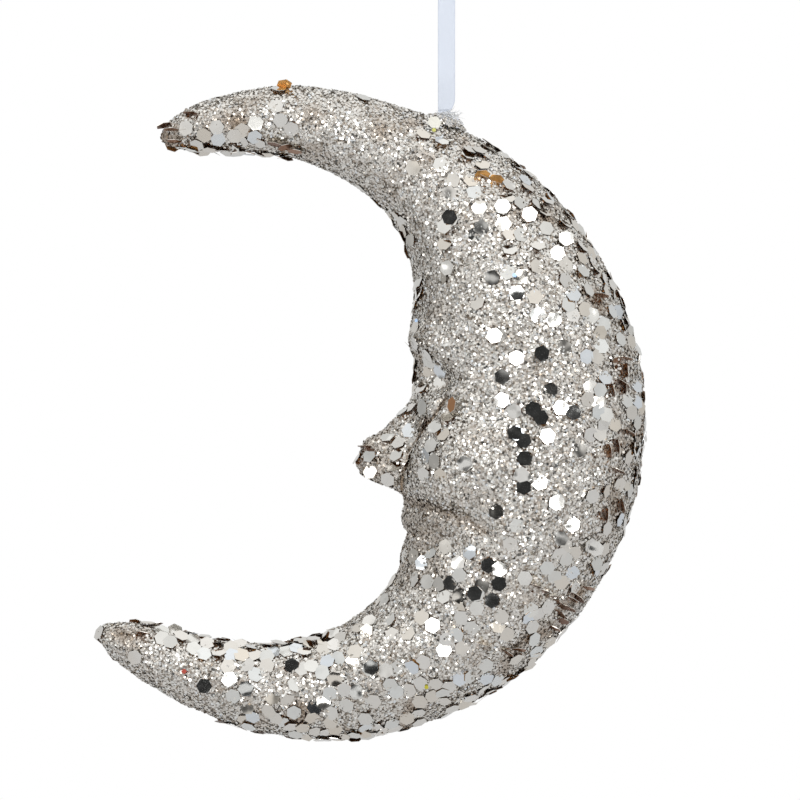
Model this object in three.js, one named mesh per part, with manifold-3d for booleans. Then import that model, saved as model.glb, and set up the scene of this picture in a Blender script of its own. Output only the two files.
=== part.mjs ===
// A glittered crescent moon with a face in profile, hung on a ribbon loop. Millimetres, +Z up.
// The origin is the hook's seat, inside the top of the loop. The profile looks towards -X, the
// photographed side is -Y, and both sides of the moon mirror each other in the plane y = 0.
import * as THREE from "three";
import { mergeVertices } from "three/addons/utils/BufferGeometryUtils.js";
import Module from "manifold-3d";

const wasm = await Module();
wasm.setup();

// Clearances
const fitGap = 0.3; // between pieces that sit on or in each other
const hingeGap = 0.45; // from the swing axis to the ribbon above it and to the tails below it

// Crescent outline, from the centre of its outer circle
const outerRadius = 67.2;
const hornLift = 4.6; // how far the upper horn stands outside the outer circle
const hornLiftFrom = 59; // degrees up the upper horn
const hornLiftTo = 110;
const innerEdgeSteps = 12; // along each stretch between two of its points
// the inner edge without the nose and lips, from beyond the upper tip to beyond the lower one
const innerEdge = [
  [-47, 44], [-39.6, 49.8], [-31.4, 53.6], [-22.3, 55.5], [-12, 55.5], [-3, 53.5], [5.2, 49.2],
  [12.4, 43.6], [16.7, 35.9], [18.4, 28.5], [18.1, 19], [18.4, 8], [17.6, -6], [16.6, -19], [16, -29],
  [12.4, -35.6], [6.4, -41], [-1.5, -45.3], [-12, -47], [-22, -46.2], [-30, -44.5], [-41.4, -40.4],
  [-49, -36], [-56, -31],
];

// Cuts across the crescent: level ones through the nose, and a fan about a pivot for each horn
const pivotX = -5;
const upperPivotZ = 14;
const lowerPivotZ = -19.5;
const upperTipAngle = 124.2;
const lowerTipAngle = 150.6;
const upperTipRounding = 14; // degrees over which a horn closes to its tip
const lowerTipRounding = 8.5;
const levelCuts = 25;
const upperCuts = 17;
const lowerCuts = 22;
const tipCuts = 6;
const ringPoints = 36;
const ringCrowding = 0.5; // how much closer the points of a cut lie at the face than at the back

// Roundness of a cut
const cutFullness = 2.15; // 2 is an ellipse, and more is squarer
const slimDepthShare = 0.98; // depth over width where a horn is thin
const depthShareLoss = 0.21; // what that share loses at the widest cut
const widestCut = 49.5;

// Nose: the ridge runs down to the tip, the underside back to the lip
const noseRootZ = 4.8;
const noseBaseZ = -16.8;
const noseRidgeSlope = 0.95;
const noseUnderSlope = 2.1;
const noseTipRound = 8.8;
const noseRootRound = 1.6;
const noseRootHalfWidth = 3.2;
const noseWingHalfWidth = 6.4;
const noseCornerPower = 2.4;

// Mounds and hollows of each side of the face, along x, y and z: place, reach, and height or depth
const cheekPlace = [29.2, 11.5, -8.9];
const cheekReach = [14.8, 12.5, 12.2];
const cheekHeight = 3.9;
const eyePlace = [22.5, 10.5, 8.2];
const eyeReach = [8, 8, 5.6];
const eyeDepth = 3.2;
const browPlace = [19.5, 7.5, 16];
const browReach = [12, 13, 6.5];
const browHeight = 1.5;
const smilePlace = [25, 13, -25];
const smileReach = [9, 8, 4.6];
const smileDepth = 1.7;
const chinPlace = [22, 6, -35];
const chinReach = [10, 10, 7];
const chinHeight = 1.2;

// Lips and the line of the mouth, in the middle of the face
const upperLipZ = -20.6;
const upperLipHalfHeight = 3.2;
const upperLipHalfWidth = 8;
const upperLipRelief = 1.3;
const mouthZ = -23.7;
const mouthHalfHeight = 1.9;
const mouthHalfWidth = 10;
const mouthDepth = 1.1;
const lowerLipZ = -26.6;
const lowerLipHalfHeight = 3;
const lowerLipHalfWidth = 7;
const lowerLipRelief = 0.9;
const lipsBehind = 30; // lips end this far back

// Layers of the moon
const coatThickness = 0.8;

// Ribbon loop
const ribbonWidth = 3.6;
const ribbonThickness = 0.3;
const loopHeight = 60; // from the hook's seat to the swing axis
const crownRadius = 3.5; // the loop's bend over the hook, along the ribbon's middle
const neckLength = 8; // the lowest stretch, below the twist
const neckSpread = 0.8; // from the middle plane to each strand at the twist
const strandSteps = 14;
const neckSteps = 4;
const crownSteps = 10;

// Where the ribbon leaves the moon
const ribbonAcross = 25.4; // from the outer circle's centre, along x
const axisAboveCoat = 2.5;

// Hanger hole and the hot-melt plug in it
const holeRadius = 3.2;
const holeDepth = 16; // below the coat
const plugEndGap = 1; // air left under the plug
const tailLength = 12;
const beadRadius = 4.5; // of the bead's foot on the coat
const beadHeight = 1.35;
const shankRise = 0.4; // share of the bead's height that the shank reaches up into it
const roundSides = 20;

// Sequins that stand out, each placed on a cut: a level one by its z, one of a horn's fan by its angle,
// and then from -1 at the inner edge to 1 at the outer one
const sequinAcrossFlats = 2.9;
const sequinThickness = 0.15;
const sequinPlaces = [
  ["upper", 117.1, 0.22], ["upper", 107, -0.45], ["upper", 58.4, -0.07], ["upper", 41.3, -0.23],
  ["upper", 35.5, 0.37], ["upper", 30.8, 0.54], ["upper", 29.6, -0.55], ["upper", 23.1, 0.72],
  ["upper", 14.8, 0.04], ["upper", 4.7, -0.23], ["level", 13.4, 0.11], ["level", 2.1, 0.01],
  ["level", 1.5, 0.34], ["level", -2.9, -0.12], ["level", -9, -0.52], ["level", -11.8, -0.03],
  ["level", -16.8, 0.29], ["lower", 6.2, 0.7], ["lower", 15.3, -0.02], ["lower", 24.3, -0.1],
  ["lower", 40.4, -0.41], ["lower", 65.9, -0.17], ["lower", 107.2, 0.04], ["lower", 139, 0.41],
];

const circleZ = -loopHeight - axisAboveCoat - Math.sqrt(outerRadius ** 2 - ribbonAcross ** 2);
const ribbonPlace = new THREE.Vector3(ribbonAcross, 0, -circleZ - loopHeight);

const foam = new THREE.MeshStandardMaterial({ color: 0xf4f2ec, roughness: 0.9, metalness: 0 });
const glitter = new THREE.MeshStandardMaterial({ color: 0xc9c2b6, roughness: 0.35, metalness: 0.7 });
const sequinFilm = new THREE.MeshStandardMaterial({ color: 0xd6d1c8, roughness: 0.12, metalness: 1 });
const hotMelt = new THREE.MeshStandardMaterial({ color: 0xe9e6dc, roughness: 0.4, metalness: 0 });
const ribbonCloth = new THREE.MeshStandardMaterial({ color: 0xe2e6f2, roughness: 0.5, metalness: 0 });

// Small curves

const clamp = THREE.MathUtils.clamp;

function smoothMin(a, b, width) {
  const near = Math.max(width - Math.abs(a - b), 0);
  return Math.min(a, b) - (near * near) / (4 * width);
}

function smoothMax(a, b, width) {
  return -smoothMin(-a, -b, width);
}

// 1 in the middle, falling to 0 at distance 1
function mound(distance, rim = 2) {
  return Math.max(1 - distance * distance, 0) ** rim;
}

// Solids and meshes

function solidOf(geometry) {
  const bare = geometry.index ? geometry.toNonIndexed() : geometry.clone();
  bare.deleteAttribute("normal");
  bare.deleteAttribute("uv");
  const merged = mergeVertices(bare, 1e-4);
  return new wasm.Manifold(
    new wasm.Mesh({
      numProp: 3,
      vertProperties: new Float32Array(merged.attributes.position.array),
      triVerts: new Uint32Array(merged.index.array),
    }),
  );
}

function geometryOf(solid) {
  const mesh = solid.getMesh();
  const geometry = new THREE.BufferGeometry();
  geometry.setAttribute("position", new THREE.BufferAttribute(new Float32Array(mesh.vertProperties), 3));
  geometry.setIndex(new THREE.BufferAttribute(new Uint32Array(mesh.triVerts), 1));
  geometry.computeVertexNormals();
  return geometry;
}

function named(name, geometry, material) {
  const mesh = new THREE.Mesh(geometry, material);
  mesh.name = name;
  return mesh;
}

// Moon surface

const edgeLine = new THREE.SplineCurve(innerEdge.map(([x, z]) => new THREE.Vector2(x, z)))
  .getPoints(innerEdge.length * innerEdgeSteps);

// Distance from a pivot along a direction to the outer circle
function toOuterCircle(pivot, along, radius) {
  const b = pivot.dot(along);
  return -b + Math.sqrt(b * b - pivot.lengthSq() + radius * radius);
}

// Distance from a pivot along a direction to the inner edge
function toInnerEdge(pivot, along) {
  for (let i = 0; i + 1 < edgeLine.length; i++) {
    const start = edgeLine[i].clone().sub(pivot);
    const step = edgeLine[i + 1].clone().sub(edgeLine[i]);
    const share = along.cross(start) / -along.cross(step);
    const distance = start.addScaledVector(step, share).dot(along);
    if (share >= 0 && share <= 1 && distance > 0) return distance;
  }
  throw new Error("the inner edge ends before the horn's tip");
}

// One cut: its middle in the xz plane, its outward direction, half width and half depth
function cutAt(pivotZ, angle, tipAngle, tipRounding) {
  const turn = THREE.MathUtils.degToRad(angle);
  const pivot = new THREE.Vector2(pivotX, pivotZ);
  const along = new THREE.Vector2(Math.cos(turn), Math.sin(turn));
  const lift = hornLift * THREE.MathUtils.smoothstep(angle, hornLiftFrom, hornLiftTo);
  const outer = toOuterCircle(pivot, along, outerRadius + lift);
  const inner = toInnerEdge(pivot, along);
  const open = clamp((tipAngle - Math.abs(angle)) / tipRounding, 0, 1);
  const closing = Math.sqrt(1 - (1 - open) ** 2);
  const width = outer - inner;
  const depth = width * (slimDepthShare - depthShareLoss * (width / widestCut) ** 2);
  return {
    centre: pivot.addScaledVector(along, (outer + inner) / 2),
    along,
    halfWidth: (width * closing) / 2,
    halfDepth: (depth * closing) / 2,
  };
}

const upperCutAt = (angle) => cutAt(upperPivotZ, angle, upperTipAngle, upperTipRounding);
const lowerCutAt = (angle) => cutAt(lowerPivotZ, -angle, lowerTipAngle, lowerTipRounding);
const levelCutAt = (z) => cutAt(z, 0, upperTipAngle, upperTipRounding);

// Angles of a horn's cuts: even steps, then closer ones where the tip rounds off
function fan(count, tipAngle, tipRounding) {
  const even = Array.from({ length: count }, (_, i) => ((tipAngle - tipRounding) * (i + 1)) / count);
  const tip = Array.from({ length: tipCuts }, (_, i) =>
    tipAngle - tipRounding * (1 - Math.sin((Math.PI / 2) * ((i + 1) / (tipCuts + 1)))));
  return [...even, ...tip];
}

// Every cut between the horn tips, from the upper one down. The tips themselves are single points.
function cuts() {
  const level = Array.from({ length: levelCuts }, (_, i) =>
    levelCutAt(THREE.MathUtils.lerp(upperPivotZ, lowerPivotZ, i / (levelCuts - 1))));
  return [
    ...fan(upperCuts, upperTipAngle, upperTipRounding).reverse().map(upperCutAt),
    ...level,
    ...fan(lowerCuts, lowerTipAngle, lowerTipRounding).map(lowerCutAt),
  ];
}

function noseReach(point) {
  const ridge = noseRidgeSlope * (noseRootZ - point.z);
  const under = noseUnderSlope * (point.z - noseBaseZ);
  const profile = smoothMax(smoothMin(ridge, under, noseTipRound), 0, noseRootRound);
  const down = clamp((noseRootZ - point.z) / (noseRootZ - noseBaseZ), 0, 1);
  const halfWidth = THREE.MathUtils.lerp(noseRootHalfWidth, noseWingHalfWidth, down);
  return profile * Math.max(1 - Math.abs(point.y / halfWidth) ** noseCornerPower, 0);
}

// rim 1 meets the face in a crease, and rim 2 runs out smoothly
const sideRelief = [
  { place: cheekPlace, reach: cheekReach, height: cheekHeight, rim: 1 },
  { place: eyePlace, reach: eyeReach, height: -eyeDepth, rim: 2 },
  { place: browPlace, reach: browReach, height: browHeight, rim: 2 },
  { place: smilePlace, reach: smileReach, height: -smileDepth, rim: 2 },
  { place: chinPlace, reach: chinReach, height: chinHeight, rim: 2 },
];
const lipRelief = [
  { z: upperLipZ, reachZ: upperLipHalfHeight, reachY: upperLipHalfWidth, height: upperLipRelief },
  { z: mouthZ, reachZ: mouthHalfHeight, reachY: mouthHalfWidth, height: -mouthDepth },
  { z: lowerLipZ, reachZ: lowerLipHalfHeight, reachY: lowerLipHalfWidth, height: lowerLipRelief },
];

function faceRelief(point) {
  const away = ({ place, reach }) =>
    Math.hypot((point.x - place[0]) / reach[0], (Math.abs(point.y) - place[1]) / reach[1],
      (point.z - place[2]) / reach[2]);
  const sides = sideRelief.reduce((sum, r) => sum + r.height * mound(away(r), r.rim), 0);
  const band = (r) => mound((point.z - r.z) / r.reachZ) * mound(point.y / r.reachY);
  const lips = point.x < lipsBehind ? lipRelief.reduce((sum, r) => sum + r.height * band(r), 0) : 0;
  return sides + lips;
}

// A point of a cut's outline. Turn 0 is the moon's back, and half a turn is its face.
function surfacePoint(cut, turn) {
  const c = Math.cos(turn);
  const s = Math.sin(turn);
  const share = (Math.abs(c) / cut.halfWidth) ** cutFullness + (Math.abs(s) / cut.halfDepth) ** cutFullness;
  const reach = share ** (-1 / cutFullness);
  const plain = new THREE.Vector3(cut.centre.x + reach * c * cut.along.x, reach * s,
    cut.centre.y + reach * c * cut.along.y);
  const onFace = clamp(-c * 2, 0, 1);
  const raised = reach + faceRelief(plain) * clamp(0.5 - c, 0, 1);
  return new THREE.Vector3(
    cut.centre.x + raised * c * cut.along.x - noseReach(plain) * onFace,
    raised * s,
    cut.centre.y + raised * c * cut.along.y,
  );
}

// The whole surface as one closed grid: rings between two tip points
function moonSurface() {
  const rings = cuts();
  const positions = [];
  const push = (p) => positions.push(p.x, p.y, p.z);
  const tipOf = ({ centre }) => new THREE.Vector3(centre.x, 0, centre.y);
  push(tipOf(upperCutAt(upperTipAngle)));
  rings.forEach((cut) => {
    for (let j = 0; j < ringPoints; j++) {
      const share = (j / ringPoints) * Math.PI * 2;
      push(surfacePoint(cut, share + ringCrowding * Math.sin(share)));
    }
  });
  push(tipOf(lowerCutAt(lowerTipAngle)));
  const last = positions.length / 3 - 1;
  const at = (ring, j) => 1 + ring * ringPoints + (j % ringPoints);
  const faces = [];
  for (let j = 0; j < ringPoints; j++) {
    faces.push(0, at(0, j), at(0, j + 1));
    faces.push(last, at(rings.length - 1, j + 1), at(rings.length - 1, j));
  }
  for (let ring = 0; ring + 1 < rings.length; ring++) {
    for (let j = 0; j < ringPoints; j++) {
      faces.push(at(ring, j), at(ring + 1, j), at(ring, j + 1));
      faces.push(at(ring, j + 1), at(ring + 1, j), at(ring + 1, j + 1));
    }
  }
  const geometry = new THREE.BufferGeometry();
  geometry.setAttribute("position", new THREE.Float32BufferAttribute(positions, 3));
  geometry.setIndex(faces);
  geometry.computeVertexNormals();
  return geometry;
}

// The same grid moved in or out along its normals
function offsetSurface(surface, distance) {
  const moved = surface.clone();
  const place = moved.attributes.position;
  const normal = surface.attributes.normal;
  for (let i = 0; i < place.count; i++) {
    place.setXYZ(i, place.getX(i) + distance * normal.getX(i), place.getY(i) + distance * normal.getY(i),
      place.getZ(i) + distance * normal.getZ(i));
  }
  return moved;
}

// Hanger hole and plug, in the moon's frame

const coatZ = ribbonPlace.z - axisAboveCoat;

function uprightCylinder(radius, bottom, top) {
  const geometry = new THREE.CylinderGeometry(radius, radius, top - bottom, roundSides);
  geometry.rotateX(Math.PI / 2);
  geometry.translate(ribbonPlace.x, 0, (top + bottom) / 2);
  return solidOf(geometry);
}

function hangerHole() {
  return uprightCylinder(holeRadius, coatZ - holeDepth, coatZ + holeRadius * 2);
}

// A shank down the hole, a low round bead on the coat, and one slot for both ribbon tails
function gluePlug(surface) {
  const shankTop = coatZ + beadHeight * shankRise;
  const shank = uprightCylinder(holeRadius - fitGap, coatZ - holeDepth + plugEndGap, shankTop);
  const roundRadius = (beadRadius ** 2 + beadHeight ** 2) / (2 * beadHeight);
  const dome = new THREE.SphereGeometry(roundRadius, roundSides * 2, roundSides);
  dome.translate(0, beadHeight - roundRadius, 0);
  const foot = new THREE.CylinderGeometry(beadRadius, beadRadius, roundRadius, roundSides);
  const [round, rim] = [dome, foot].map((geometry) => {
    geometry.rotateX(Math.PI / 2);
    geometry.rotateY(Math.asin(ribbonAcross / outerRadius));
    geometry.translate(ribbonPlace.x, 0, coatZ);
    return solidOf(geometry);
  });
  const bead = round.intersect(rim).subtract(solidOf(offsetSurface(surface, fitGap)));
  const slot = new THREE.BoxGeometry(ribbonWidth + fitGap * 2, ribbonThickness * 2 + fitGap * 3,
    tailLength + hingeGap + fitGap + beadHeight * 2);
  slot.translate(ribbonPlace.x, 0,
    ribbonPlace.z - hingeGap - tailLength - fitGap + slot.parameters.depth / 2);
  return shank.add(bead).subtract(solidOf(slot));
}

// Ribbon, in the loop's frame

const strandRest = (ribbonThickness + fitGap) / 2; // each strand's distance from the middle plane

// A flat band that follows a line in the yz plane, as wide as the ribbon along x
function band(line) {
  const sides = [1, -1].map((side) =>
    line.map((p, i) => {
      const before = line[Math.max(i - 1, 0)];
      const after = line[Math.min(i + 1, line.length - 1)];
      const along = after.clone().sub(before).normalize();
      return new THREE.Vector2(p.x - (side * along.y * ribbonThickness) / 2,
        p.y + (side * along.x * ribbonThickness) / 2);
    }));
  const shape = new THREE.Shape([...sides[0], ...sides[1].reverse()]);
  const geometry = new THREE.ExtrudeGeometry(shape, { depth: ribbonWidth, bevelEnabled: false });
  geometry.translate(0, 0, -ribbonWidth / 2);
  // the shape's x and y become the part's y and z, and its depth becomes x
  geometry.applyMatrix4(new THREE.Matrix4().set(0, 0, 1, 0, 1, 0, 0, 0, 0, 1, 0, 0, 0, 0, 0, 1));
  return geometry;
}

const neckTopZ = -loopHeight + neckLength;
const crownCentreZ = ribbonThickness / 2 - crownRadius;

// A strand's distance from the middle plane at a height
function strandSpread(z) {
  if (z < neckTopZ) {
    const share = THREE.MathUtils.smoothstep(z, -loopHeight, neckTopZ);
    return THREE.MathUtils.lerp(strandRest, neckSpread, share);
  }
  return THREE.MathUtils.lerp(neckSpread, crownRadius, THREE.MathUtils.smoothstep(z, neckTopZ, crownCentreZ));
}

function strand(side, bottom, top, steps) {
  return Array.from({ length: steps + 1 }, (_, i) => {
    const z = THREE.MathUtils.lerp(bottom, top, i / steps);
    return new THREE.Vector2(side * strandSpread(z), z);
  });
}

function ribbonLoop() {
  const bottom = neckTopZ + fitGap;
  const front = strand(-1, bottom, crownCentreZ, strandSteps);
  const crown = Array.from({ length: crownSteps - 1 }, (_, i) => {
    const turn = Math.PI * (1 - (i + 1) / crownSteps);
    return new THREE.Vector2(crownRadius * Math.cos(turn), crownCentreZ + crownRadius * Math.sin(turn));
  });
  const back = strand(1, bottom, crownCentreZ, strandSteps).reverse();
  return named("ribbon_loop", band([...front, ...crown, ...back]), ribbonCloth);
}

function ribbonNeck(name, side) {
  return named(name, band(strand(side, -loopHeight + hingeGap, neckTopZ, neckSteps)), ribbonCloth);
}

function ribbonTail(name, side) {
  const tail = new THREE.BoxGeometry(ribbonWidth, ribbonThickness, tailLength);
  tail.translate(0, side * strandRest, -loopHeight - hingeGap - tailLength / 2);
  return named(name, tail, ribbonCloth);
}

// Sequins, in the moon's frame

function sequinBlank() {
  const corner = sequinAcrossFlats / Math.sqrt(3);
  const shape = new THREE.Shape(Array.from({ length: 6 }, (_, i) => {
    const turn = (Math.PI / 3) * i;
    return new THREE.Vector2(corner * Math.cos(turn), corner * Math.sin(turn));
  }));
  return new THREE.ExtrudeGeometry(shape, { depth: sequinThickness, bevelEnabled: false });
}

// Lays one sequin on the coat where a line along y meets it, turned a little for each place
function sequin(name, coat, [kind, where, share], side, index) {
  const cut = { upper: upperCutAt, level: levelCutAt, lower: lowerCutAt }[kind](where);
  const place = cut.centre.addScaledVector(cut.along, share * cut.halfWidth);
  const start = new THREE.Vector3(place.x, side * outerRadius, place.y);
  const [hit] = new THREE.Raycaster(start, new THREE.Vector3(0, -side, 0)).intersectObject(coat);
  const mesh = named(name, sequinBlank(), sequinFilm);
  mesh.quaternion.setFromUnitVectors(new THREE.Vector3(0, 0, 1), hit.face.normal);
  mesh.position.copy(hit.point).addScaledVector(hit.face.normal, fitGap);
  mesh.rotateZ(index);
  return mesh;
}

// Assembly

const surface = moonSurface();
const skin = solidOf(surface);
const lining = solidOf(offsetSurface(surface, -coatThickness));
const core = solidOf(offsetSurface(surface, -coatThickness - fitGap));

const moon = new THREE.Group();
moon.position.set(-ribbonAcross, 0, circleZ);
moon.add(
  named("foam_core", geometryOf(core.subtract(hangerHole())), foam),
  named("glitter_coat", geometryOf(skin.subtract(lining).subtract(hangerHole())), glitter),
  named("glue_plug", geometryOf(gluePlug(surface)), hotMelt),
);

const coat = new THREE.Mesh(surface);
const sides = { front: -1, back: 1 };
for (const [word, side] of Object.entries(sides)) {
  sequinPlaces.forEach((place, i) => {
    moon.add(sequin(`sequin_${word}_${String(i + 1).padStart(2, "0")}`, coat, place, side, i));
  });
}

const ornament = new THREE.Group();
ornament.add(
  ribbonLoop(),
  ribbonNeck("ribbon_neck_front", sides.front),
  ribbonNeck("ribbon_neck_back", sides.back),
  ribbonTail("ribbon_tail_front", sides.front),
  ribbonTail("ribbon_tail_back", sides.back),
  moon,
);

export default ornament;
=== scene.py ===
# %% [markdown]
# # A glittered moon on a ribbon
#
# The real ornament is a crescent of light foam. It is coated with glue, rolled in fine glitter, and
# then sprinkled with flat hexagonal sequins. A narrow satin ribbon is folded into a loop, and both of
# its ends are stuck into the top with a drop of clear glue.
#
# The solid parts are already modelled to size. They are loaded here as a fixed frame, and each step
# below gives one of them the surface that a hand would feel: crust, flakes, sequins, cloth and glue.

import math

import bmesh
import bpy
import numpy as np
from mathutils import Matrix, Vector, noise
from mathutils.bvhtree import BVHTree


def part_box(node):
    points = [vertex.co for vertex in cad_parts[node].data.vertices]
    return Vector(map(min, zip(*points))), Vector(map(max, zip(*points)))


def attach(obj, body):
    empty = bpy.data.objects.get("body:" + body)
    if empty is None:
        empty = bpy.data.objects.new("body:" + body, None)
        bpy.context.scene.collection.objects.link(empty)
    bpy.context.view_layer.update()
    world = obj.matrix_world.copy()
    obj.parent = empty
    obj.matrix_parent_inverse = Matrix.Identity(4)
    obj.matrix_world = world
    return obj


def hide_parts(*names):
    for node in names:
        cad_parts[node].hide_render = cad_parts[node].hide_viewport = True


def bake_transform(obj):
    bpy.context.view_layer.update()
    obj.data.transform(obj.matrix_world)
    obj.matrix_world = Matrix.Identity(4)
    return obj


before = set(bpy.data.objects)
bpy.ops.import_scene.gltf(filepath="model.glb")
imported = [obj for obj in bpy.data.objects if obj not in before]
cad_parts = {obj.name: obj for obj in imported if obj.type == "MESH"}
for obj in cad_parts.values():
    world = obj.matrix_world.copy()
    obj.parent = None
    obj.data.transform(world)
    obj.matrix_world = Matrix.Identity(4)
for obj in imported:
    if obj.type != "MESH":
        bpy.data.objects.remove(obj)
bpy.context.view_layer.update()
scene = bpy.context.scene

# %% [markdown]
# ## Camera
#
# The photograph is taken straight from the side, level with the moon, and from far enough away that
# the crescent hardly shows any perspective. A long lens at 90 cm does that. The picture is as wide as
# 168 mm at the moon.

# %% Place the camera
PICTURE_WIDTH = 0.168
CAMERA_DISTANCE = 0.9
PICTURE_MIDDLE = (-0.00977, -0.1207)  # across and up
SENSOR_WIDTH = 36.0


def add_object(name, data):
    """Puts something in the scene under a name."""
    made = bpy.data.objects.new(name, data)
    scene.collection.objects.link(made)
    return made


camera_lens = bpy.data.cameras.new("camera")
camera_lens.sensor_width = SENSOR_WIDTH
camera_lens.lens = SENSOR_WIDTH * CAMERA_DISTANCE / PICTURE_WIDTH
camera = add_object("camera", camera_lens)
camera.location = (PICTURE_MIDDLE[0], -CAMERA_DISTANCE, PICTURE_MIDDLE[1])
camera.rotation_euler = (math.pi / 2, 0, 0)
scene.camera = camera
scene.view_settings.view_transform = "Standard"
print("lens:", round(camera_lens.lens, 1), "mm")

# %% [markdown]
# ## Ribbon route
#
# The ribbon is one length of satin tape. It leaves the glue, goes up in front, turns over the hook and
# comes back down behind. It is limp and light, and the moon pulls it straight. Its two runs meet at
# the glue and spread to the width of the hook at the top. The route is kept as a list of points.

# %% Work out the route
LOOP_HEIGHT = 0.060
NECK_TOP = -0.052
CROWN_RADIUS = 0.0035
CROWN_CENTRE = -0.00335
SPREAD_AT_GLUE = 0.0003
SPREAD_AT_NECK = 0.0008
RUN_STEPS = 110
CROWN_STEPS = 28


def ease(value, start, end):
    share = min(max((value - start) / (end - start), 0.0), 1.0)
    return share * share * (3 - 2 * share)


def run_spread(height):
    """How far each run of the ribbon lies from the middle plane at a height."""
    if height < NECK_TOP:
        low, high = SPREAD_AT_GLUE, SPREAD_AT_NECK
        return low + (high - low) * ease(height, -LOOP_HEIGHT, NECK_TOP)
    low, high = SPREAD_AT_NECK, CROWN_RADIUS
    return low + (high - low) * ease(height, NECK_TOP, CROWN_CENTRE)


def ribbon_route():
    heights = np.linspace(-LOOP_HEIGHT, CROWN_CENTRE, RUN_STEPS + 1)
    front = [Vector((0, -run_spread(z), z)) for z in heights]
    turns = np.linspace(math.pi, 0, CROWN_STEPS + 1)[1:-1]
    crown = [
        Vector((0, CROWN_RADIUS * math.cos(t), CROWN_CENTRE + CROWN_RADIUS * math.sin(t)))
        for t in turns
    ]
    back = [Vector((0, run_spread(z), z)) for z in reversed(heights)]
    return front + crown + back


route = ribbon_route()

# %% [markdown]
# ## Material helpers
#
# Every finish below is a small tree of shader nodes. These helpers make one node or one link at a
# time, so that each material reads like a recipe.

# %% Make nodes and links
def add_node(tree, kind, settings=None, **inputs):
    """One node, with its settings and the values or links of its inputs."""
    node = tree.nodes.new(kind)
    for key, value in (settings or {}).items():
        setattr(node, key, value)
    for key, value in inputs.items():
        plug(tree, node, key.replace("_", " "), value)
    return node


def plug(tree, node, key, value):
    """Sets an input, or links it where the value is another node's output."""
    socket = node.inputs[key] if isinstance(key, int) else next(
        s for s in node.inputs if s.name == key and s.enabled
    )
    if isinstance(value, bpy.types.NodeSocket):
        tree.links.new(value, socket)
    elif socket.type == "RGBA":
        socket.default_value = (*value, 1)
    else:
        socket.default_value = value


def join(tree, operation, *values, clamp=False):
    """A number worked out from one to three others."""
    node = add_node(tree, "ShaderNodeMath", {"operation": operation, "use_clamp": clamp})
    for i, value in enumerate(values):
        plug(tree, node, i, value)
    return node.outputs[0]


def join_vectors(tree, operation, *values):
    node = add_node(tree, "ShaderNodeVectorMath", {"operation": operation})
    for i, value in enumerate(values):
        plug(tree, node, "Scale" if operation == "SCALE" and i else i, value)
    return node.outputs[1 if operation == "DOT_PRODUCT" else 0]


def ramp(tree, value, stops):
    """A colour looked up from stops of (place, colour)."""
    node = add_node(tree, "ShaderNodeValToRGB", Fac=value)
    elements = node.color_ramp.elements
    while len(elements) < len(stops):
        elements.new(0.5)
    for element, (place, colour) in zip(elements, stops):
        element.position = place
        element.color = (*colour, 1)
    return node.outputs["Color"]


def mix_colours(tree, share, first, second, blend="MIX"):
    node = add_node(tree, "ShaderNodeMix", {"data_type": "RGBA", "blend_type": blend})
    for key, value in ((0, share), (6, first), (7, second)):
        plug(tree, node, key, value)
    return node.outputs[2]


def new_finish(name, **constants):
    """An empty material with one Principled shader. Constants go straight onto its sockets."""
    finish = bpy.data.materials.new(name)
    finish.use_nodes = True
    tree = finish.node_tree
    shader = tree.nodes["Principled BSDF"]
    for key, value in constants.items():
        shader.inputs[key.replace("_", " ")].default_value = value
    return finish, tree, shader


def object_places(tree):
    return tree.nodes.new("ShaderNodeTexCoord").outputs["Object"]


def noise_map(tree, scale, detail=2.0):
    """Noise that is fixed to the places of the object."""
    node = add_node(tree, "ShaderNodeTexNoise", Vector=object_places(tree), Scale=scale, Detail=detail)
    return node.outputs[0]


def bumped(tree, height, strength, distance):
    """The surface's normal, tilted as if the surface rose and fell with the height."""
    return add_node(
        tree, "ShaderNodeBump", Strength=strength, Distance=distance, Height=height
    ).outputs[0]


def new_group(name, kind, inputs, outputs):
    """A group of nodes, what it is given by name, and the node that takes its results."""
    tree = bpy.data.node_groups.new(name, kind + "NodeTree")
    for way, labels in (("INPUT", inputs), ("OUTPUT", outputs)):
        for label, socket in labels:
            tree.interface.new_socket(label, in_out=way, socket_type="NodeSocket" + socket)
    given = {s.name: s for s in tree.nodes.new("NodeGroupInput").outputs}
    return tree, given, tree.nodes.new("NodeGroupOutput")


def floats(*labels):
    return [(label, "Float") for label in labels]


print("helpers ready")

# %% [markdown]
# ## Satin
#
# Satin tape shines because most of its threads run along it. Each thread is far finer than a pixel, so
# the cloth is drawn on the ribbon's own measure, in millimetres across and along. Fine ribs along the
# tape, a faint grain across it and a firmer selvedge at both edges are enough.

# %% Weave the satin
SATIN_COLOUR = (0.83, 0.88, 0.965)
SATIN_SHADE = (0.75, 0.81, 0.91)


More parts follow.
